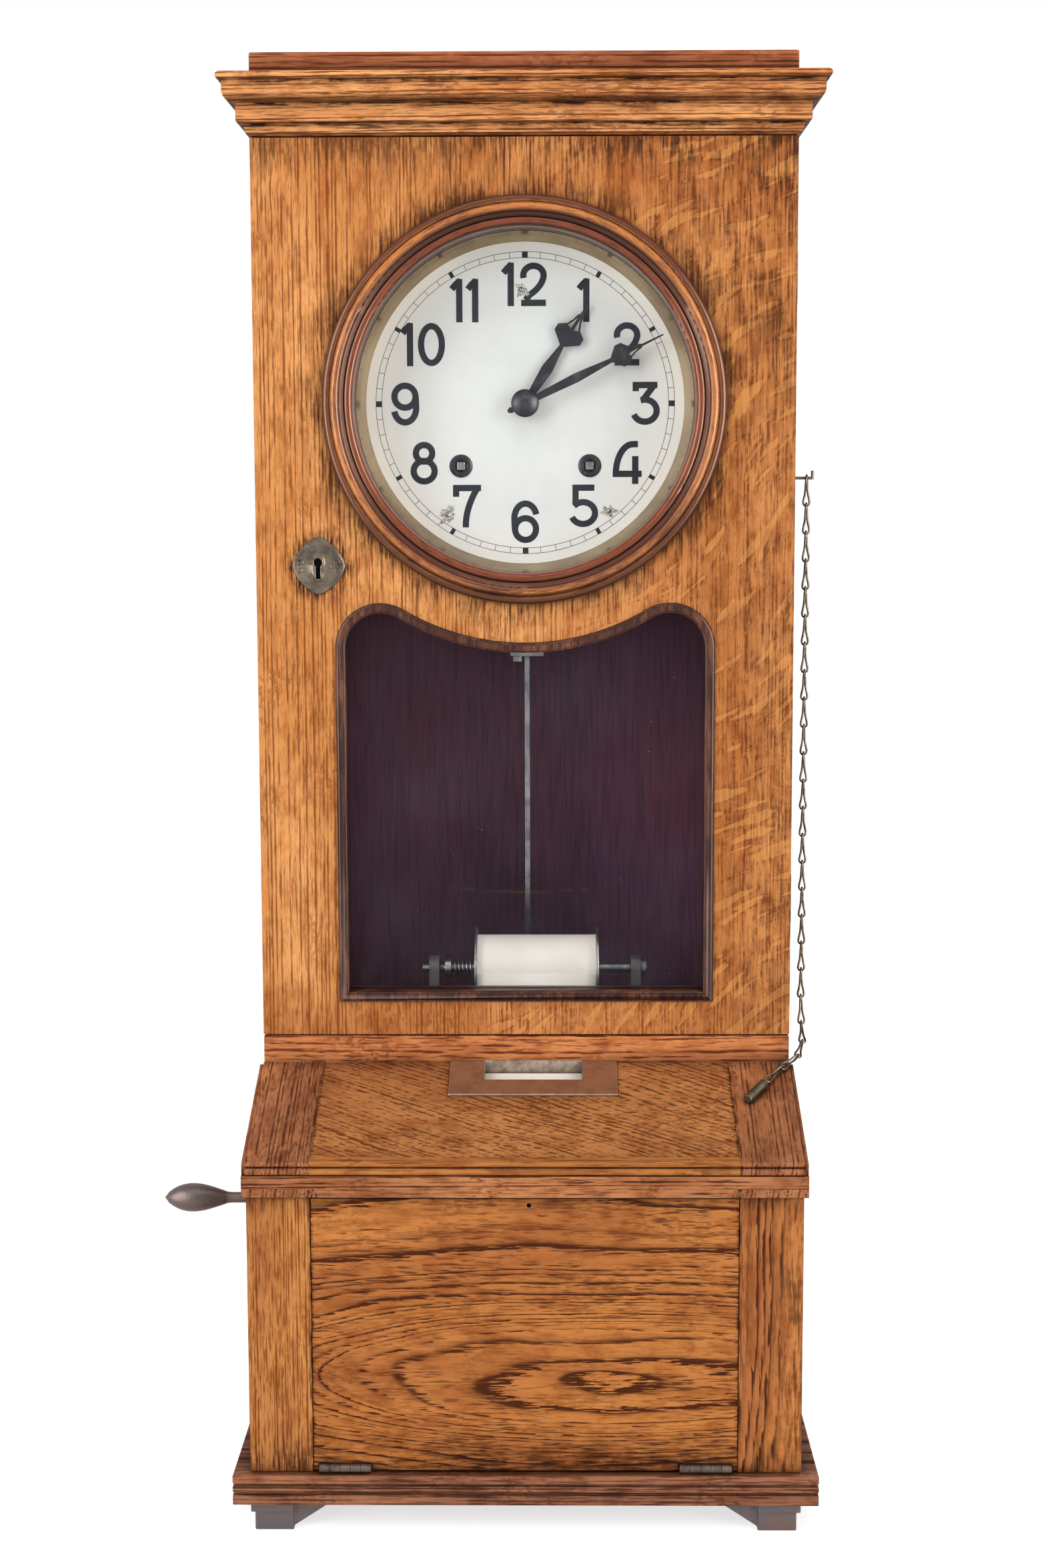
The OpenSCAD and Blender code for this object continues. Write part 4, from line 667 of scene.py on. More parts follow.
TRAIN_BRASS = metal("movement_brass", "c9a862", "a98a4c", (0.25, 0.4))
DULL_STEEL = metal("dull_steel", "878784", "5c5a57", (0.32, 0.5), brushed=(1, 1, 0.05))
BRIGHT_STEEL = metal("bright_steel", "8f8f91", "626164", (0.2, 0.35))
CHAIN_BRONZE = metal("chain_bronze", "675d4a", "3b342b", (0.35, 0.55), metallic=0.9, spots=200.0)
PLATE_BRONZE = metal(
    "bronzed_plate", "a07052", "865b42", (0.38, 0.5), metallic=0.4, spots=70.0, filth_and_shade="3a2318",
)
PLATE_EDGE = metal("rubbed_plate_edge", "b3a294", "8d7462", (0.3, 0.45), metallic=0.7, spots=140.0)
LINING_STEEL = metal("slot_lining_steel", "a89786", "705f50", (0.4, 0.6), metallic=0.5, spots=150.0)
FOOT_IRON = cast_iron("foot_iron", "5d5456", "6a5247")
LEVER_IRON = cast_iron("lever_iron", "5e5350", "6c5648", (0.38, 0.55))
RECORDER_IRON = cast_iron("recorder_iron", "4c4a48", "574b40")
HAND_BLACK = speckled(
    "hand_black", "161619", "3a3a3d", (130.0, 5.0, 0.65), (0.52, 0.74), (0.34, 0.5), (0.0001, 0.25),
    metallic=0.25, gleam=0.35,
)
DIAL_INK = speckled(
    "dial_ink", "1a1f24", "2a3036", (240.0, 4.0, 0.6), (0.45, 0.75), (0.55, 0.7), gleam=0.2,
)
ENAMEL = dial_enamel("dial_enamel")
PAPER = paper("recording_paper")
PANE = pane("old_glass")
CHIP = speckled(
    "flaked_dial", "77756e", "c9c7bf", (700.0, 4.0, 0.7), (0.42, 0.58), (0.4, 0.7), (0.0002, 0.6),
    metallic=0.2,
)


# Making pieces

SHARP_TURN = math.radians(35)
FLAT_TURN = math.radians(0.6)
WELD = 2e-6
WIRE_SWELL = 0.2 * MM
WIRE_LEVELS = 2


def face_out(bm):
    bmesh.ops.recalc_face_normals(bm, faces=bm.faces)


def thicken(bm, thickness):
    bmesh.ops.solidify(bm, geom=bm.faces[:], thickness=thickness)
    face_out(bm)


def mesh_from(bm, name):
    mesh = bpy.data.meshes.new(name)
    bm.to_mesh(mesh)
    bm.free()
    return mesh


def settle(name, bm, finishes, body, replaced=(), crease=22.0):
    """Makes a piece of a finished bmesh, which rides on a body and stands for the replaced nodes."""
    mesh = mesh_from(bm, name)
    for material in finishes if isinstance(finishes, list) else [finishes]:
        mesh.materials.append(material)
    mesh.polygons.foreach_set("use_smooth", [True] * len(mesh.polygons))
    mesh.set_sharp_from_angle(angle=math.radians(crease))
    piece = bpy.data.objects.new(name, mesh)
    SCENE.collection.objects.link(piece)
    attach(piece, body)
    if replaced:
        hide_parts(*replaced)
    return piece


def merged_copy(node):
    """The node's mesh with its loose triangles joined at their edges."""
    bm = bmesh.new()
    bm.from_mesh(frame["nodes"][node].data)
    bmesh.ops.remove_doubles(bm, verts=bm.verts, dist=WELD)
    return bm


def ease_edges(bm, width, segments=2):
    """Rounds every sharp edge by a width in millimetres, as handling and sandpaper do."""
    sharp = [e for e in bm.edges if e.is_manifold and e.calc_face_angle(0.0) > SHARP_TURN]
    bmesh.ops.bevel(
        bm, geom=sharp, offset=width * MM, offset_type="OFFSET", affect="EDGES",
        segments=segments, profile=0.5, clamp_overlap=True, material=-1,
    )


def body_of(node):
    return frame["nodes"][node]["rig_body"]


def worn(node, finishes, width=0.8, segments=2, choose=None):
    """A board or fitting with its edges eased, in place of its node.

    Choose gives the number of each face's finish from its centre and normal."""
    bm = merged_copy(node)
    if width:
        bmesh.ops.dissolve_limit(bm, angle_limit=FLAT_TURN, verts=bm.verts, edges=bm.edges)
        ease_edges(bm, width, segments)
    if choose:
        for face in bm.faces:
            face.material_index = choose(face.calc_center_median(), face.normal)
    settle(f"{node}_worn", bm, finishes, body_of(node), [node])


def dress(finish, *nodes):
    """Gives nodes that keep their own shape their finish."""
    for node in nodes:
        for holder in frame["nodes"][node].material_slots:
            holder.material = finish


def wire(node, finish):
    """A wire form rounded from its node's wire, swelled first by what the rounding takes off."""
    bm = merged_copy(node)
    bm.normal_update()
    for vert in bm.verts:
        vert.co += vert.normal * WIRE_SWELL
    bmesh.ops.join_triangles(
        bm, faces=bm.faces,
        angle_face_threshold=math.radians(50), angle_shape_threshold=math.radians(60),
    )
    piece = settle(f"{node}_wire", bm, finish, body_of(node), [node], crease=180.0)
    smooth = piece.modifiers.new("round_wire", "SUBSURF")
    smooth.levels = WIRE_LEVELS
    smooth.render_levels = WIRE_LEVELS


def turned(bm, profile, centre, steps):
    """Adds a profile of (radius, depth) pairs spun about a front-to-back axis."""
    part = bmesh.new()
    verts = [part.verts.new(centre + Vector((r * MM, depth * MM, 0))) for r, depth in profile]
    edges = [part.edges.new(pair) for pair in zip(verts, verts[1:])]
    bmesh.ops.spin(
        part, geom=verts + edges, cent=centre, axis=(0, 1, 0), angle=math.tau, steps=steps,
        use_merge=True,
    )
    bmesh.ops.remove_doubles(part, verts=part.verts, dist=1e-7)
    face_out(part)
    join_into(bm, part)


def join_into(bm, part):
    mesh = mesh_from(part, "part")
    bm.from_mesh(mesh)
    bpy.data.meshes.remove(mesh)


def arc(cx, cy, rx, ry, start, end, steps=24):
    """Points along an ellipse between two angles in degrees."""
    angles = [math.radians(start + (end - start) * i / steps) for i in range(steps + 1)]
    return [(cx + rx * math.cos(a), cy + ry * math.sin(a)) for a in angles]


def ring_of_edges(bm, places):
    verts = [bm.verts.new(place) for place in places]
    return [bm.edges.new(pair) for pair in zip(verts, verts[1:] + verts[:1])]


# Case

RAIL_FACE = 0.0139
BLOCK_SIZE = (0.0495, 0.0008, 0.0055)
BLOCK_CUT = 0.003
BLOCK_INSET = 0.0002
BLOCK_EASE = 0.25
FLAT_FACE = 0.985


def make_rail_blocks():
    """Blocks let into the lower edge of the desk's rail over the stiles, with slanting inner ends."""
    bm = bmesh.new()
    x = RAIL_HIGH.x - BLOCK_SIZE[0] / 2 - BLOCK_INSET
    z = RAIL_LOW.z + BLOCK_SIZE[2] / 2 + BLOCK_INSET
    for side in (-1, 1):
        block = bmesh.ops.create_cube(bm, size=1.0)["verts"]
        bmesh.ops.scale(bm, vec=BLOCK_SIZE, verts=block)
        for vert in block:
            if vert.co.x * side < 0 and vert.co.z > 0:
                vert.co.x += side * BLOCK_CUT
        bmesh.ops.translate(bm, vec=(side * x, RAIL_FRONT, z), verts=block)
    ease_edges(bm, BLOCK_EASE)
    settle("rail_end_blocks", bm, CLEAT_OAK, "case")


def is_right(centre, normal):
    return 1 if centre.x > 0 else 0


def is_rim(centre, normal):
    """The eased edges of the slot's plate, where its bronzing is rubbed off."""
    ways = (Vector((1, 0, 0)), Vector((0, 1, 0)), SLOPE_NORMAL, SLOPE_FALL)
    return 1 if max(abs(normal.dot(way)) for way in ways) < FLAT_FACE else 0


def is_strip(centre, normal):
    """The moulded strip along the top of the desk's rail."""
    return 1 if centre.z > RAIL_LOW.z + RAIL_FACE else 0


def is_return(centre, normal):
    """The cornice's side pieces lie beyond its mitres."""
    return 1 if abs(centre.x) - CASE_HALF > DOOR_FRONT - centre.y + 1e-5 else 0


worn("door_panel", DOOR_OAK, 1.0)
worn("front_rails", RAIL_OAK, 2.2, segments=3)
worn("cornice", [CORNICE_OAK, RETURN_OAK], 0.5, choose=is_return)
worn("top_board", TOP_OAK, 1.2)
worn("left_side", SIDE_OAK)
worn("right_side", SIDE_OAK)
worn("desk_board", DESK_OAK, 0.6)
worn("desk_cleats", CLEAT_OAK)
worn("desk_rail", [NOSE_OAK, STRIP_OAK], 0.5, choose=is_strip)
make_rail_blocks()
worn("lower_stiles", [LEFT_STILE_OAK, RIGHT_STILE_OAK], choose=is_right)
worn("fall_front", FALL_OAK)
worn("base_plate", BASE_OAK)
worn("feet", FOOT_IRON)
worn("slot_plate", [PLATE_BRONZE, PLATE_EDGE], 0.45, choose=is_rim)
worn("dial_ring", RING_MAHOGANY, 0.0)
worn("window_moulding", BEAD_MAHOGANY, 0.0)
worn("sight_ring", SIGHT_BRASS, 0.0)
worn("hour_hand", HAND_BLACK, 0.25)
worn("minute_hand", HAND_BLACK, 0.25)
worn("lever_handle", LEVER_IRON, 0.6)
worn("paper_roll", PAPER, 0.3)
worn("roll_core", DULL_STEEL, 0.2)
worn("roll_spindle", DULL_STEEL, 0.3)
worn("recorder_frame", RECORDER_IRON, 0.6)
worn("pendulum_rod", DULL_STEEL, 0.3)
worn("left_arbor", BRIGHT_STEEL, 0.9, segments=4)
worn("right_arbor", BRIGHT_STEEL, 0.9, segments=4)
worn("chain_ferrule", CHAIN_BRONZE, 0.4)
worn("chain_hook", CHAIN_BRONZE, 0.2)
wire("pencil_chain", CHAIN_BRONZE)
wire("spindle_spring", DULL_STEEL)
wire("return_spring", DULL_STEEL)
dress(BACK_STAIN, "back_panel", "movement_seat")
dress(PANE, "door_glass")
dress(ENAMEL, "dial_plate")
dress(OLD_BRASS, "lock_case", "lock_bolt", "lever_bush")
dress(HINGE_IRON, "door_hinge_plates", "hinge_leaves", "fall_hinge_plates")
dress(
    TRAIN_BRASS, "cannon_pinion", "minute_wheel", "hour_wheel", "movement_plates",
    "mainspring_barrels", "center_wheel", "third_wheel", "escape_wheel", "pendulum_bob",
)
dress(DULL_STEEL, "hinge_pins", "pallet_anchor", "frame_rods", "lever_shaft")
dress(RECORDER_IRON, "writing_bed", "type_wheels", "take_up_spool")


# Writing slot

SLOT_WIDE = 0.0675
SLOT_RUN = 0.0217
LINING_DEPTH = 0.0105
LINING_THICK = 0.0005
LINING_SHEET = LINING_THICK * 0.9
LINING_EASE = 0.15
PAPER_CROWN = 0.0055
PAPER_CUTS = 24
# Shares of the slot's run over which the paper rises at the front and dips at the back
PAPER_RISE = 0.4
PAPER_DIP = 0.1


def make_slot_lining():
    """Steel strip round the back and the ends of the writing slot."""
    bm = bmesh.new()
    middle = (SLOT_LOW.x + SLOT_HIGH.x) / 2
    half = SLOT_WIDE / 2 - LINING_THICK
    back = SLOT_HIGH.y - LINING_THICK
    front = SLOT_HIGH.y - SLOT_RUN
    top = SLOT_HIGH.z + SLOPE_FALL.z / SLOPE_FALL.y * (front - SLOT_HIGH.y)
    plan = [(-half, front, top), (-half, back, SLOT_HIGH.z)]
    plan += [(-x, y, z) for x, y, z in reversed(plan)]
    verts = [bm.verts.new((middle + x, y, z)) for x, y, z in plan]
    edges = [bm.edges.new(pair) for pair in zip(verts, verts[1:])]
    made = bmesh.ops.extrude_edge_only(bm, edges=edges)["geom"]
    lower = [v for v in made if isinstance(v, bmesh.types.BMVert)]
    bmesh.ops.translate(bm, verts=lower, vec=(0, 0, -LINING_DEPTH))
    face_out(bm)
    thicken(bm, LINING_SHEET)
    ease_edges(bm, LINING_EASE)
    settle("slot_lining", bm, LINING_STEEL, "case")


def eased(share):
    """Runs smoothly from nought to one."""
    share = min(max(share, 0.0), 1.0)
    return share * share * (3 - 2 * share)


def make_paper_web():
    """The paper's run over its bed, crowned up into the writing slot."""
    bm = merged_copy("paper_web")
    front = SLOT_HIGH.y - SLOT_RUN
    for i in range(PAPER_CUTS + 1):
        cut = (0, front + SLOT_RUN * i / PAPER_CUTS, 0)
        whole = bm.verts[:] + bm.edges[:] + bm.faces[:]
        bmesh.ops.bisect_plane(bm, geom=whole, plane_co=cut, plane_no=(0, 1, 0))
    for vert in bm.verts:
        share = (vert.co.y - front) / SLOT_RUN
        under = (SLOT_HIGH - vert.co).dot(SLOPE_NORMAL)
        if 0 < share < 1 and abs(under) < 2 * LINING_DEPTH:
            lift = min(eased(share / PAPER_RISE), eased((1 - share) / PAPER_DIP))
            vert.co += SLOPE_NORMAL * PAPER_CROWN * lift
    settle("paper_web_crowned", bm, PAPER, "case", ["paper_web"], crease=60)


make_slot_lining()
make_paper_web()


# Lock plate

PLATE_HALF = (17.6, 19.2)
PLATE_FULLNESS = 1.5
KEYHOLE_MIDDLE = (-0.4, 2.2)
KEYHOLE_RADIUS = 2.9
SLIT_HALF = 1.55
SLIT_DROP = 10.8
PLATE_POINTS = 96
OUTLINE_POINTS = 180
# Share of the way from keyhole to rim, and the height above the door in millimetres
PLATE_SECTION = [
    (0.0, 0.2), (0.0, 1.75), (0.05, 2.05), (0.13, 2.0), (0.19, 1.45), (0.50, 1.5), (0.78, 1.3),
    (0.84, 1.05), (0.90, 1.2), (0.96, 0.95), (1.0, 0.4), (1.0, 0.0),
]
# Scrolls as (across, up, radius, start and sweep in degrees, wire radius), made on both sides
SCROLL_RISE = 1.3
SCROLL_SIDES = 10
SCROLL_STEP = 15
SCROLLS = [
    (12.4, 2.3, 1.9, -70, 300, 0.5), (12.6, 2.2, 0.8, 60, 240, 0.45), (12.9, -2.9, 1.6, 80, 290, 0.5),
    (12.8, -2.8, 0.6, -60, 220, 0.4), (2.2, 2.0, 10.6, 28, 34, 0.5), (2.0, -2.6, 10.8, -62, 34, 0.5),
    (1.6, 3.6, 9.6, 58, 26, 0.4), (9.2, -0.3, 1.2, 100, 160, 0.4),
]
KEYHOLE_DEPTH = 0.15
SHADOW_THICK = 0.1


def spaced(path, count):
    """Evenly spaced points round a closed path."""
    corners = [Vector(p) for p in path]
    legs = list(zip(corners, corners[1:] + corners[:1]))
    total = sum((b - a).length for a, b in legs)
    points = []
    for i in range(count):
        left = total * i / count
        for a, b in legs:
            if left <= (b - a).length:
                points.append(a.lerp(b, left / (b - a).length))
                break
            left -= (b - a).length
    return points


def keyhole_edge():
    """Round hole with a slit below it, from the middle of the slit's foot upwards on the right."""
    mouth = math.degrees(math.asin(SLIT_HALF / KEYHOLE_RADIUS))
    hole = arc(0, 0, KEYHOLE_RADIUS, KEYHOLE_RADIUS, mouth - 90, 270 - mouth, 28)
    path = [(0, -SLIT_DROP), (SLIT_HALF, -SLIT_DROP), *hole, (-SLIT_HALF, -SLIT_DROP)]
    return [(x + KEYHOLE_MIDDLE[0], z + KEYHOLE_MIDDLE[1]) for x, z in path]


def plate_edge():
    """Diamond with full sides and rounded corners, from its foot upwards on the right."""
    power = 2 / PLATE_FULLNESS
    points = []
    for i in range(OUTLINE_POINTS):
        angle = math.tau * i / OUTLINE_POINTS - math.pi / 2
        shares = zip(PLATE_HALF, (math.cos(angle), math.sin(angle)))
        points.append([half * math.copysign(abs(share) ** power, share) for half, share in shares])
    return points


def on_door(x, z, height):
    return Vector((LOCK_CENTRE.x + x * MM, DOOR_FRONT - height * MM, LOCK_CENTRE.z + z * MM))


def add_scroll(bm, x, z, radius, start, sweep, thick):
    """A raised bow on the lock plate: a round wire spun part of a turn, with its ends closed."""
    part = bmesh.new()
    middle = on_door(x, z, SCROLL_RISE)
    section = arc(radius, 0, thick, thick, 0, 360, SCROLL_SIDES)[:-1]
    edges = ring_of_edges(part, [middle + Vector((a * MM, b * MM, 0)) for a, b in section])
    bmesh.ops.contextual_create(part, geom=edges)
    bmesh.ops.spin(
        part, geom=part.verts[:] + part.edges[:] + part.faces[:], cent=middle, axis=(0, -1, 0),
        angle=math.radians(sweep), steps=max(6, round(sweep / SCROLL_STEP)),
    )
    turn = Matrix.Rotation(math.radians(-start), 3, "Y")
    bmesh.ops.rotate(part, verts=part.verts, cent=middle, matrix=turn)
    face_out(part)
    join_into(bm, part)


def make_lock_plate():
    """Tarnished plate with a raised lip round the keyhole and cast scrolls at its side corners."""
    bm = bmesh.new()
    inner = spaced(keyhole_edge(), PLATE_POINTS)
    outer = spaced(plate_edge(), PLATE_POINTS)
    rings = [
        ring_of_edges(bm, [on_door(*a.lerp(b, share), height) for a, b in zip(inner, outer)])
        for share, height in PLATE_SECTION
    ]
    for first, second in zip(rings, rings[1:]):
        bmesh.ops.bridge_loops(bm, edges=first + second)
    face_out(bm)
    for across, up, radius, start, sweep, thick in SCROLLS:
        add_scroll(bm, across, up, radius, start, sweep, thick)
        add_scroll(bm, -across, up, radius, 180 - start - sweep, sweep, thick)
    settle("lock_plate", bm, OLD_BRASS, "upper_door", ["escutcheon"], crease=35)
    dark = bmesh.new()
    edges = ring_of_edges(dark, [on_door(*place, KEYHOLE_DEPTH) for place in inner])
    bmesh.ops.triangle_fill(dark, edges=edges, use_beauty=True, normal=(0, -1, 0))
    thicken(dark, SHADOW_THICK * MM)
    settle("keyhole_shadow", dark, KEYHOLE, "upper_door")


# Dial

NUMERAL_STROKE = 4.3
NUMERAL_RADIUS = 80.0
SIDE_NUMERAL_RADIUS = 82.0
TRACK_INNER = 97.8
TRACK_OUTER = 101.8
TRACK_LINE = 0.32
HOUR_MARK = 2.7
QUARTER_MARK = 3.9
PRINT_RISE = 0.08
PRINT_THICK = PRINT_RISE * 0.6
MARK_RISE = PRINT_RISE * 1.2
PRINT_STEP = 0.015
PRINT_LAYERS = 6
BEND_STEPS = 12


def bend(start, lean, end):
    """Points along a curve from start to end that leans towards a third point."""
    shares = [i / BEND_STEPS for i in range(BEND_STEPS + 1)]
    return [
        tuple((1 - t) ** 2 * a + 2 * t * (1 - t) * b + t * t * c for a, b, c in zip(start, lean, end))
        for t in shares
    ]


# Strokes of the numerals as centre lines in millimetres about each figure's middle
TOP = 12.35
SIX = [
    arc(0, -5, 7.2, 7.4, 0, 360, 32),
    arc(0, 2.6, 7.6, 9.75, 14, 180) + [(-7.3, -5)],
]
FIGURES = {
    "0": [arc(0, 0, 7.1, TOP, 0, 360, 36)],
    "1": [[(1.6, 14.5), (1.6, -14.5)], [(2.6, 13.4), (-0.6, 11.0), (-3.4, 7.6)]],
    "2": [
        arc(0, 5.9, 6.9, 6.45, 195, -20)
        + bend((6.5, 3.6), (4.5, -2.4), (-2.6, -7.0))[1:]
        + [(-5.4, -10.4)],
        [(-8.4, -TOP), (8.4, -TOP)],
    ],
    "3": [
        [(-8.2, TOP), (8.0, TOP)],
        [(-6.7, 14.4), (-6.7, 8.2)],
        [(6.6, 13.4), (-1.8, 2.2)],
        arc(-0.4, -4.9, 8.0, 7.45, 112, -160),
    ],
    "4": [
        [(7.6, 12.5)] + arc(4.2, -7.4, 11.6, 19.9, 90, 180),
        [(-9.6, -7.6), (10.2, -7.6)],
        [(5.8, 4.4), (5.8, -14.5)],
    ],
    "5": [
        [(-7.8, TOP), (7.2, TOP)],
        [(-5.7, 14.3), (-5.7, 0.6)],
        arc(-0.5, -4.9, 8.2, 7.45, 140, -158),
    ],
    "6": SIX,
    "7": [
        [(-9.2, TOP), (9.6, TOP)],
        [(-7.5, 14.4), (-7.5, 6.4)],
        bend((7.6, 13.2), (-1.2, -1.0), (-1.0, -14.5)),
    ],
    "8": [arc(0, 6.7, 5.6, 5.65, 0, 360, 28), arc(0, -5.4, 7.2, 6.95, 0, 360, 32)],
    "9": [[(-x, -y) for x, y in stroke] for stroke in SIX],
}
HOURS = {
    10: [("1", -10.6), ("0", 5.6)],
    11: [("1", -6.2), ("1", 4.6)],
    12: [("1", -11.2), ("2", 5.8)],
}


def ribbon(bm, path, width, lift):
    """A flat stroke of even width along a path on the dial's face."""
    closed = (Vector(path[0]) - Vector(path[-1])).length < 1e-6
    points = [Vector(p) for p in (path[:-1] if closed else path)]
    count = len(points)
    rails = []
    for i, point in enumerate(points):
        before = points[i - 1] if i or closed else point
        after = points[(i + 1) % count] if i + 1 < count or closed else point
        ahead = (after - before).normalized()
        out = Vector((-ahead.y, ahead.x)) * width / 2
        rails.append([bm.verts.new(on_dial(point + out * s, lift)) for s in (1, -1)])
    edges = [bm.edges.new(pair) for pair in rails]
    pairs = list(zip(edges, edges[1:])) + ([(edges[-1], edges[0])] if closed else [])
    for first, second in pairs:
        bmesh.ops.bridge_loops(bm, edges=[first, second])


def on_dial(point, lift):
    return DIAL_CENTRE + Vector((point[0] * MM, -lift * MM, point[1] * MM))


def face_front(bm):
    """Thickens flat printing and turns it to the front."""
    for face in bm.faces:
        face.normal_update()
        if face.normal.y > 0:
            face.normal_flip()
    thicken(bm, PRINT_THICK * MM)


def make_numerals():
    """The hours from 1 to 12, each stroke a little above the last so that none fight."""
    bm = bmesh.new()
    layer = 0
    for hour in range(1, 13):
        angle = math.radians(90 - 30 * hour)
        reach = SIDE_NUMERAL_RADIUS if hour in (3, 9) else NUMERAL_RADIUS
        middle = Vector((math.cos(angle), math.sin(angle))) * reach
        for figure, aside in HOURS.get(hour, [(str(hour), 0.0)]):
            for stroke in FIGURES[figure]:
                path = [(x + middle.x + aside, y + middle.y) for x, y in stroke]
                layer += 1
                ribbon(bm, path, NUMERAL_STROKE, PRINT_RISE + PRINT_STEP * (layer % PRINT_LAYERS))
    face_front(bm)
    settle("hour_numerals", bm, DIAL_INK, "case")


def make_minute_track():
    """Two circles with a mark for each minute, broader at the hours and the quarters."""
    bm = bmesh.new()
    for radius in (TRACK_INNER, TRACK_OUTER):
        ribbon(bm, arc(0, 0, radius, radius, 0, 360, 180), TRACK_LINE, PRINT_RISE)
    for minute in range(60):
        angle = math.radians(6 * minute)
        out = Vector((math.cos(angle), math.sin(angle)))
        width = TRACK_LINE
        if minute % 15 == 0:
            width = QUARTER_MARK
        elif minute % 5 == 0:
            width = HOUR_MARK
        ribbon(bm, [out * TRACK_INNER, out * TRACK_OUTER], width, MARK_RISE)
    face_front(bm)
    settle("minute_track", bm, DIAL_INK, "case")


# Turned shapes as (radius, depth) in millimetres from the dial's face
GROMMET = [
    (3.6, 0.9), (3.6, -0.7), (4.2, -1.3), (5.6, -1.6), (7.0, -1.3), (7.85, -0.5), (7.85, 0.0),
]
SCREW_HEAD = [(0, -1.0), (0.9, -0.85), (1.6, -0.35), (1.75, 0.0)]


def make_winding_grommets():
    """Black eyelets round the two winding holes."""
    bm = bmesh.new()
    for node in ("left_arbor", "right_arbor"):
        low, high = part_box(node)
        centre = (low + high) / 2
        centre.y = DIAL_CENTRE.y
        turned(bm, GROMMET, centre, 64)
    settle("winding_grommets", bm, HAND_BLACK, "case", crease=40)


# Flaked spots as (across, up, size) in millimetres, with the flakes' shares of that size
CHIPS = [(-2.5, 76.7, 6.2), (-53.2, -75.3, 7.2), (57.4, -72.7, 5.8)]
CHIP_SEED = 5
CHIP_RISE = 0.19
CHIP_LAYERS = 4
CHIP_CORNERS = 17
CHIP_LENGTH = (0.7, 1.3)
CHIP_WIDTH = (0.25, 0.6)
CHIP_RAGGED = (0.45, 1.0)


def make_dial_screws():
    """Flaked white round the three screws that hold the dial, and their heads."""
    random.seed(CHIP_SEED)
    flakes = bmesh.new()
    heads = bmesh.new()
    for x, z, size in CHIPS:
        for layer in range(CHIP_LAYERS):
            spread = Matrix.Rotation(random.uniform(0, math.tau), 4, "Y")
            shares = (random.uniform(*CHIP_LENGTH), 1, random.uniform(*CHIP_WIDTH), 1)
            beside = (x + random.uniform(-1, 1), z + random.uniform(-1, 1))
            spot = Matrix.Translation(on_dial(beside, CHIP_RISE + PRINT_STEP * layer))
            made = bmesh.ops.create_circle(
                flakes, cap_ends=True, radius=size * MM, segments=CHIP_CORNERS,
            )["verts"]
            for vert in made:
                vert.co *= random.uniform(*CHIP_RAGGED)
            bmesh.ops.rotate(flakes, verts=made, matrix=Matrix.Rotation(math.pi / 2, 3, "X"))
            placed = spot @ spread @ Matrix.Diagonal(shares)
            bmesh.ops.transform(flakes, verts=made, matrix=placed)
        turned(heads, SCREW_HEAD, on_dial((x, z), 0), 32)
    face_front(flakes)
    settle("dial_flakes", flakes, CHIP, "case")
    settle("dial_screws", heads, DULL_STEEL, "case", crease=40)


make_lock_plate()
make_numerals()
make_minute_track()
make_winding_grommets()
make_dial_screws()


# Stage

FLOOR_SIZE = 12.0
FLOOR_GREY = (0.86, 0.86, 0.86, 1)
WHITE = (1, 1, 1, 1)
FLOOR_LIFT = 0.66
SKY_LIGHT = 0.42
# Lamps as name, place, aim, size, power, and whether they light everything or only show in polish
LAMPS = [
    ("left_softbox", (-1.7, -1.9, 1.25), (0, -0.05, 0.55), (1.1, 1.7), 28, True),
    ("right_softbox", (1.9, -1.7, 1.15), (0, -0.05, 0.5), (1.0, 1.6), 17.6, True),
    ("top_softbox", (0.0, -1.1, 2.5), (0, 0.0, 0.6), (1.6, 1.0), 12.4, True),
    ("left_gleam", (-1.5, -1.0, 0.75), (0, -0.04, 0.65), (0.8, 1.6), 45, False),
    ("right_gleam", (1.5, -1.0, 0.75), (0, -0.04, 0.65), (0.8, 1.6), 72, False),
]


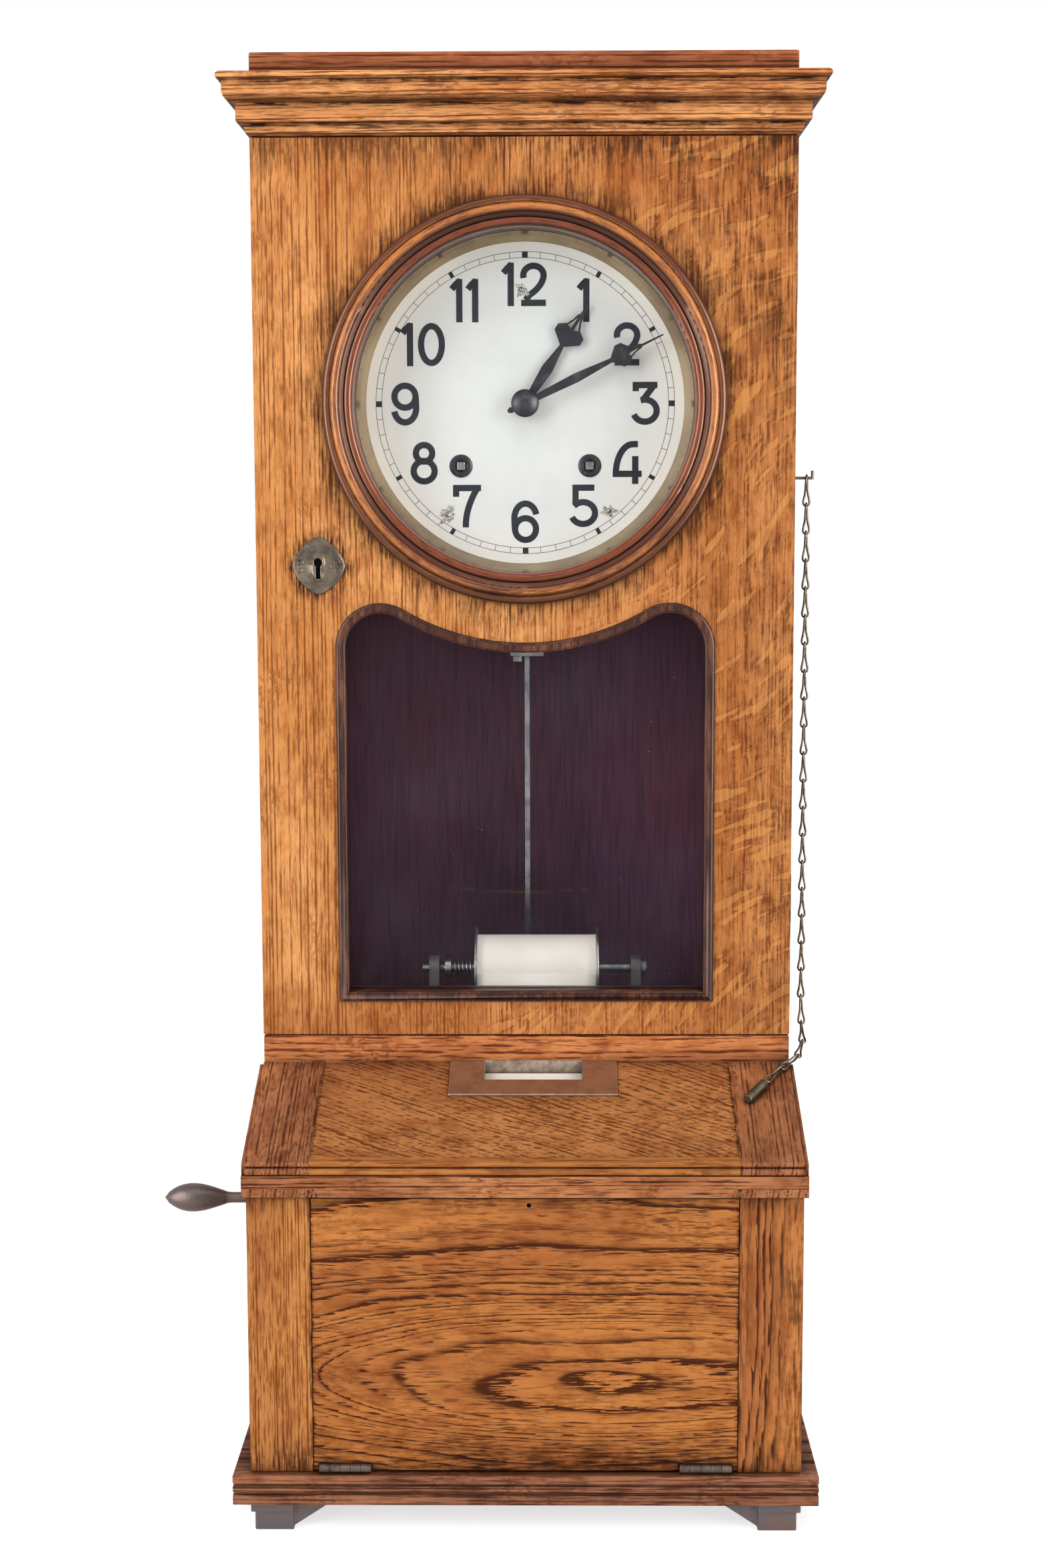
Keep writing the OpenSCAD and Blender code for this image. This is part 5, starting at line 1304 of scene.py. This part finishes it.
def seen_rays(tree):
    """One for rays that see the background directly, in a mirror or through glass."""
    path = tree.nodes.new("ShaderNodeLightPath")
    seen = path.outputs["Is Camera Ray"]
    for ray in ("Is Glossy Ray", "Is Transmission Ray"):
        either = tree.nodes.new("ShaderNodeMath")
        either.operation = "MAXIMUM"
        tree.links.new(seen, either.inputs[0])
        tree.links.new(path.outputs[ray], either.inputs[1])
        seen = either.outputs[0]
    return seen


def make_floor():
    """Pale floor that keeps the object's shadow and lifts to white where it is seen."""
    bm = bmesh.new()
    bmesh.ops.create_grid(bm, x_segments=8, y_segments=8, size=FLOOR_SIZE)
    mesh = mesh_from(bm, "pale_floor")
    f = Finish("pale_floor", roughness=0.9)
    f.shader.inputs["Emission Color"].default_value = WHITE
    f.feed(f.shader.inputs["Emission Strength"], f.times(seen_rays(f.tree), FLOOR_LIFT))
    mesh.materials.append(f.finish(FLOOR_GREY))
    floor = bpy.data.objects.new("pale_floor", mesh)
    SCENE.collection.objects.link(floor)


def make_world():
    """White where it is seen, and a plain level of light on the object."""
    world = bpy.data.worlds.new("studio")
    SCENE.world = world
    world.use_nodes = True
    tree = world.node_tree
    background = tree.nodes["Background"]
    background.inputs["Color"].default_value = WHITE
    level = tree.nodes.new("ShaderNodeMapRange")
    level.inputs["To Min"].default_value = SKY_LIGHT
    level.inputs["To Max"].default_value = 1.0
    tree.links.new(seen_rays(tree), level.inputs["Value"])
    tree.links.new(level.outputs[0], background.inputs["Strength"])


def softbox(name, place, aim, size, power, lights_all):
    data = bpy.data.lights.new(name, "AREA")
    data.shape = "RECTANGLE"
    data.size, data.size_y = size
    data.energy = power
    lamp = bpy.data.objects.new(name, data)
    lamp.visible_diffuse = lights_all
    lamp.location = place
    lamp.rotation_euler = (Vector(aim) - Vector(place)).to_track_quat("-Z", "Y").to_euler()
    SCENE.collection.objects.link(lamp)


make_floor()
make_world()
for lamp_row in LAMPS:
    softbox(*lamp_row)

bpy.context.scene.view_settings.view_transform = "Standard"
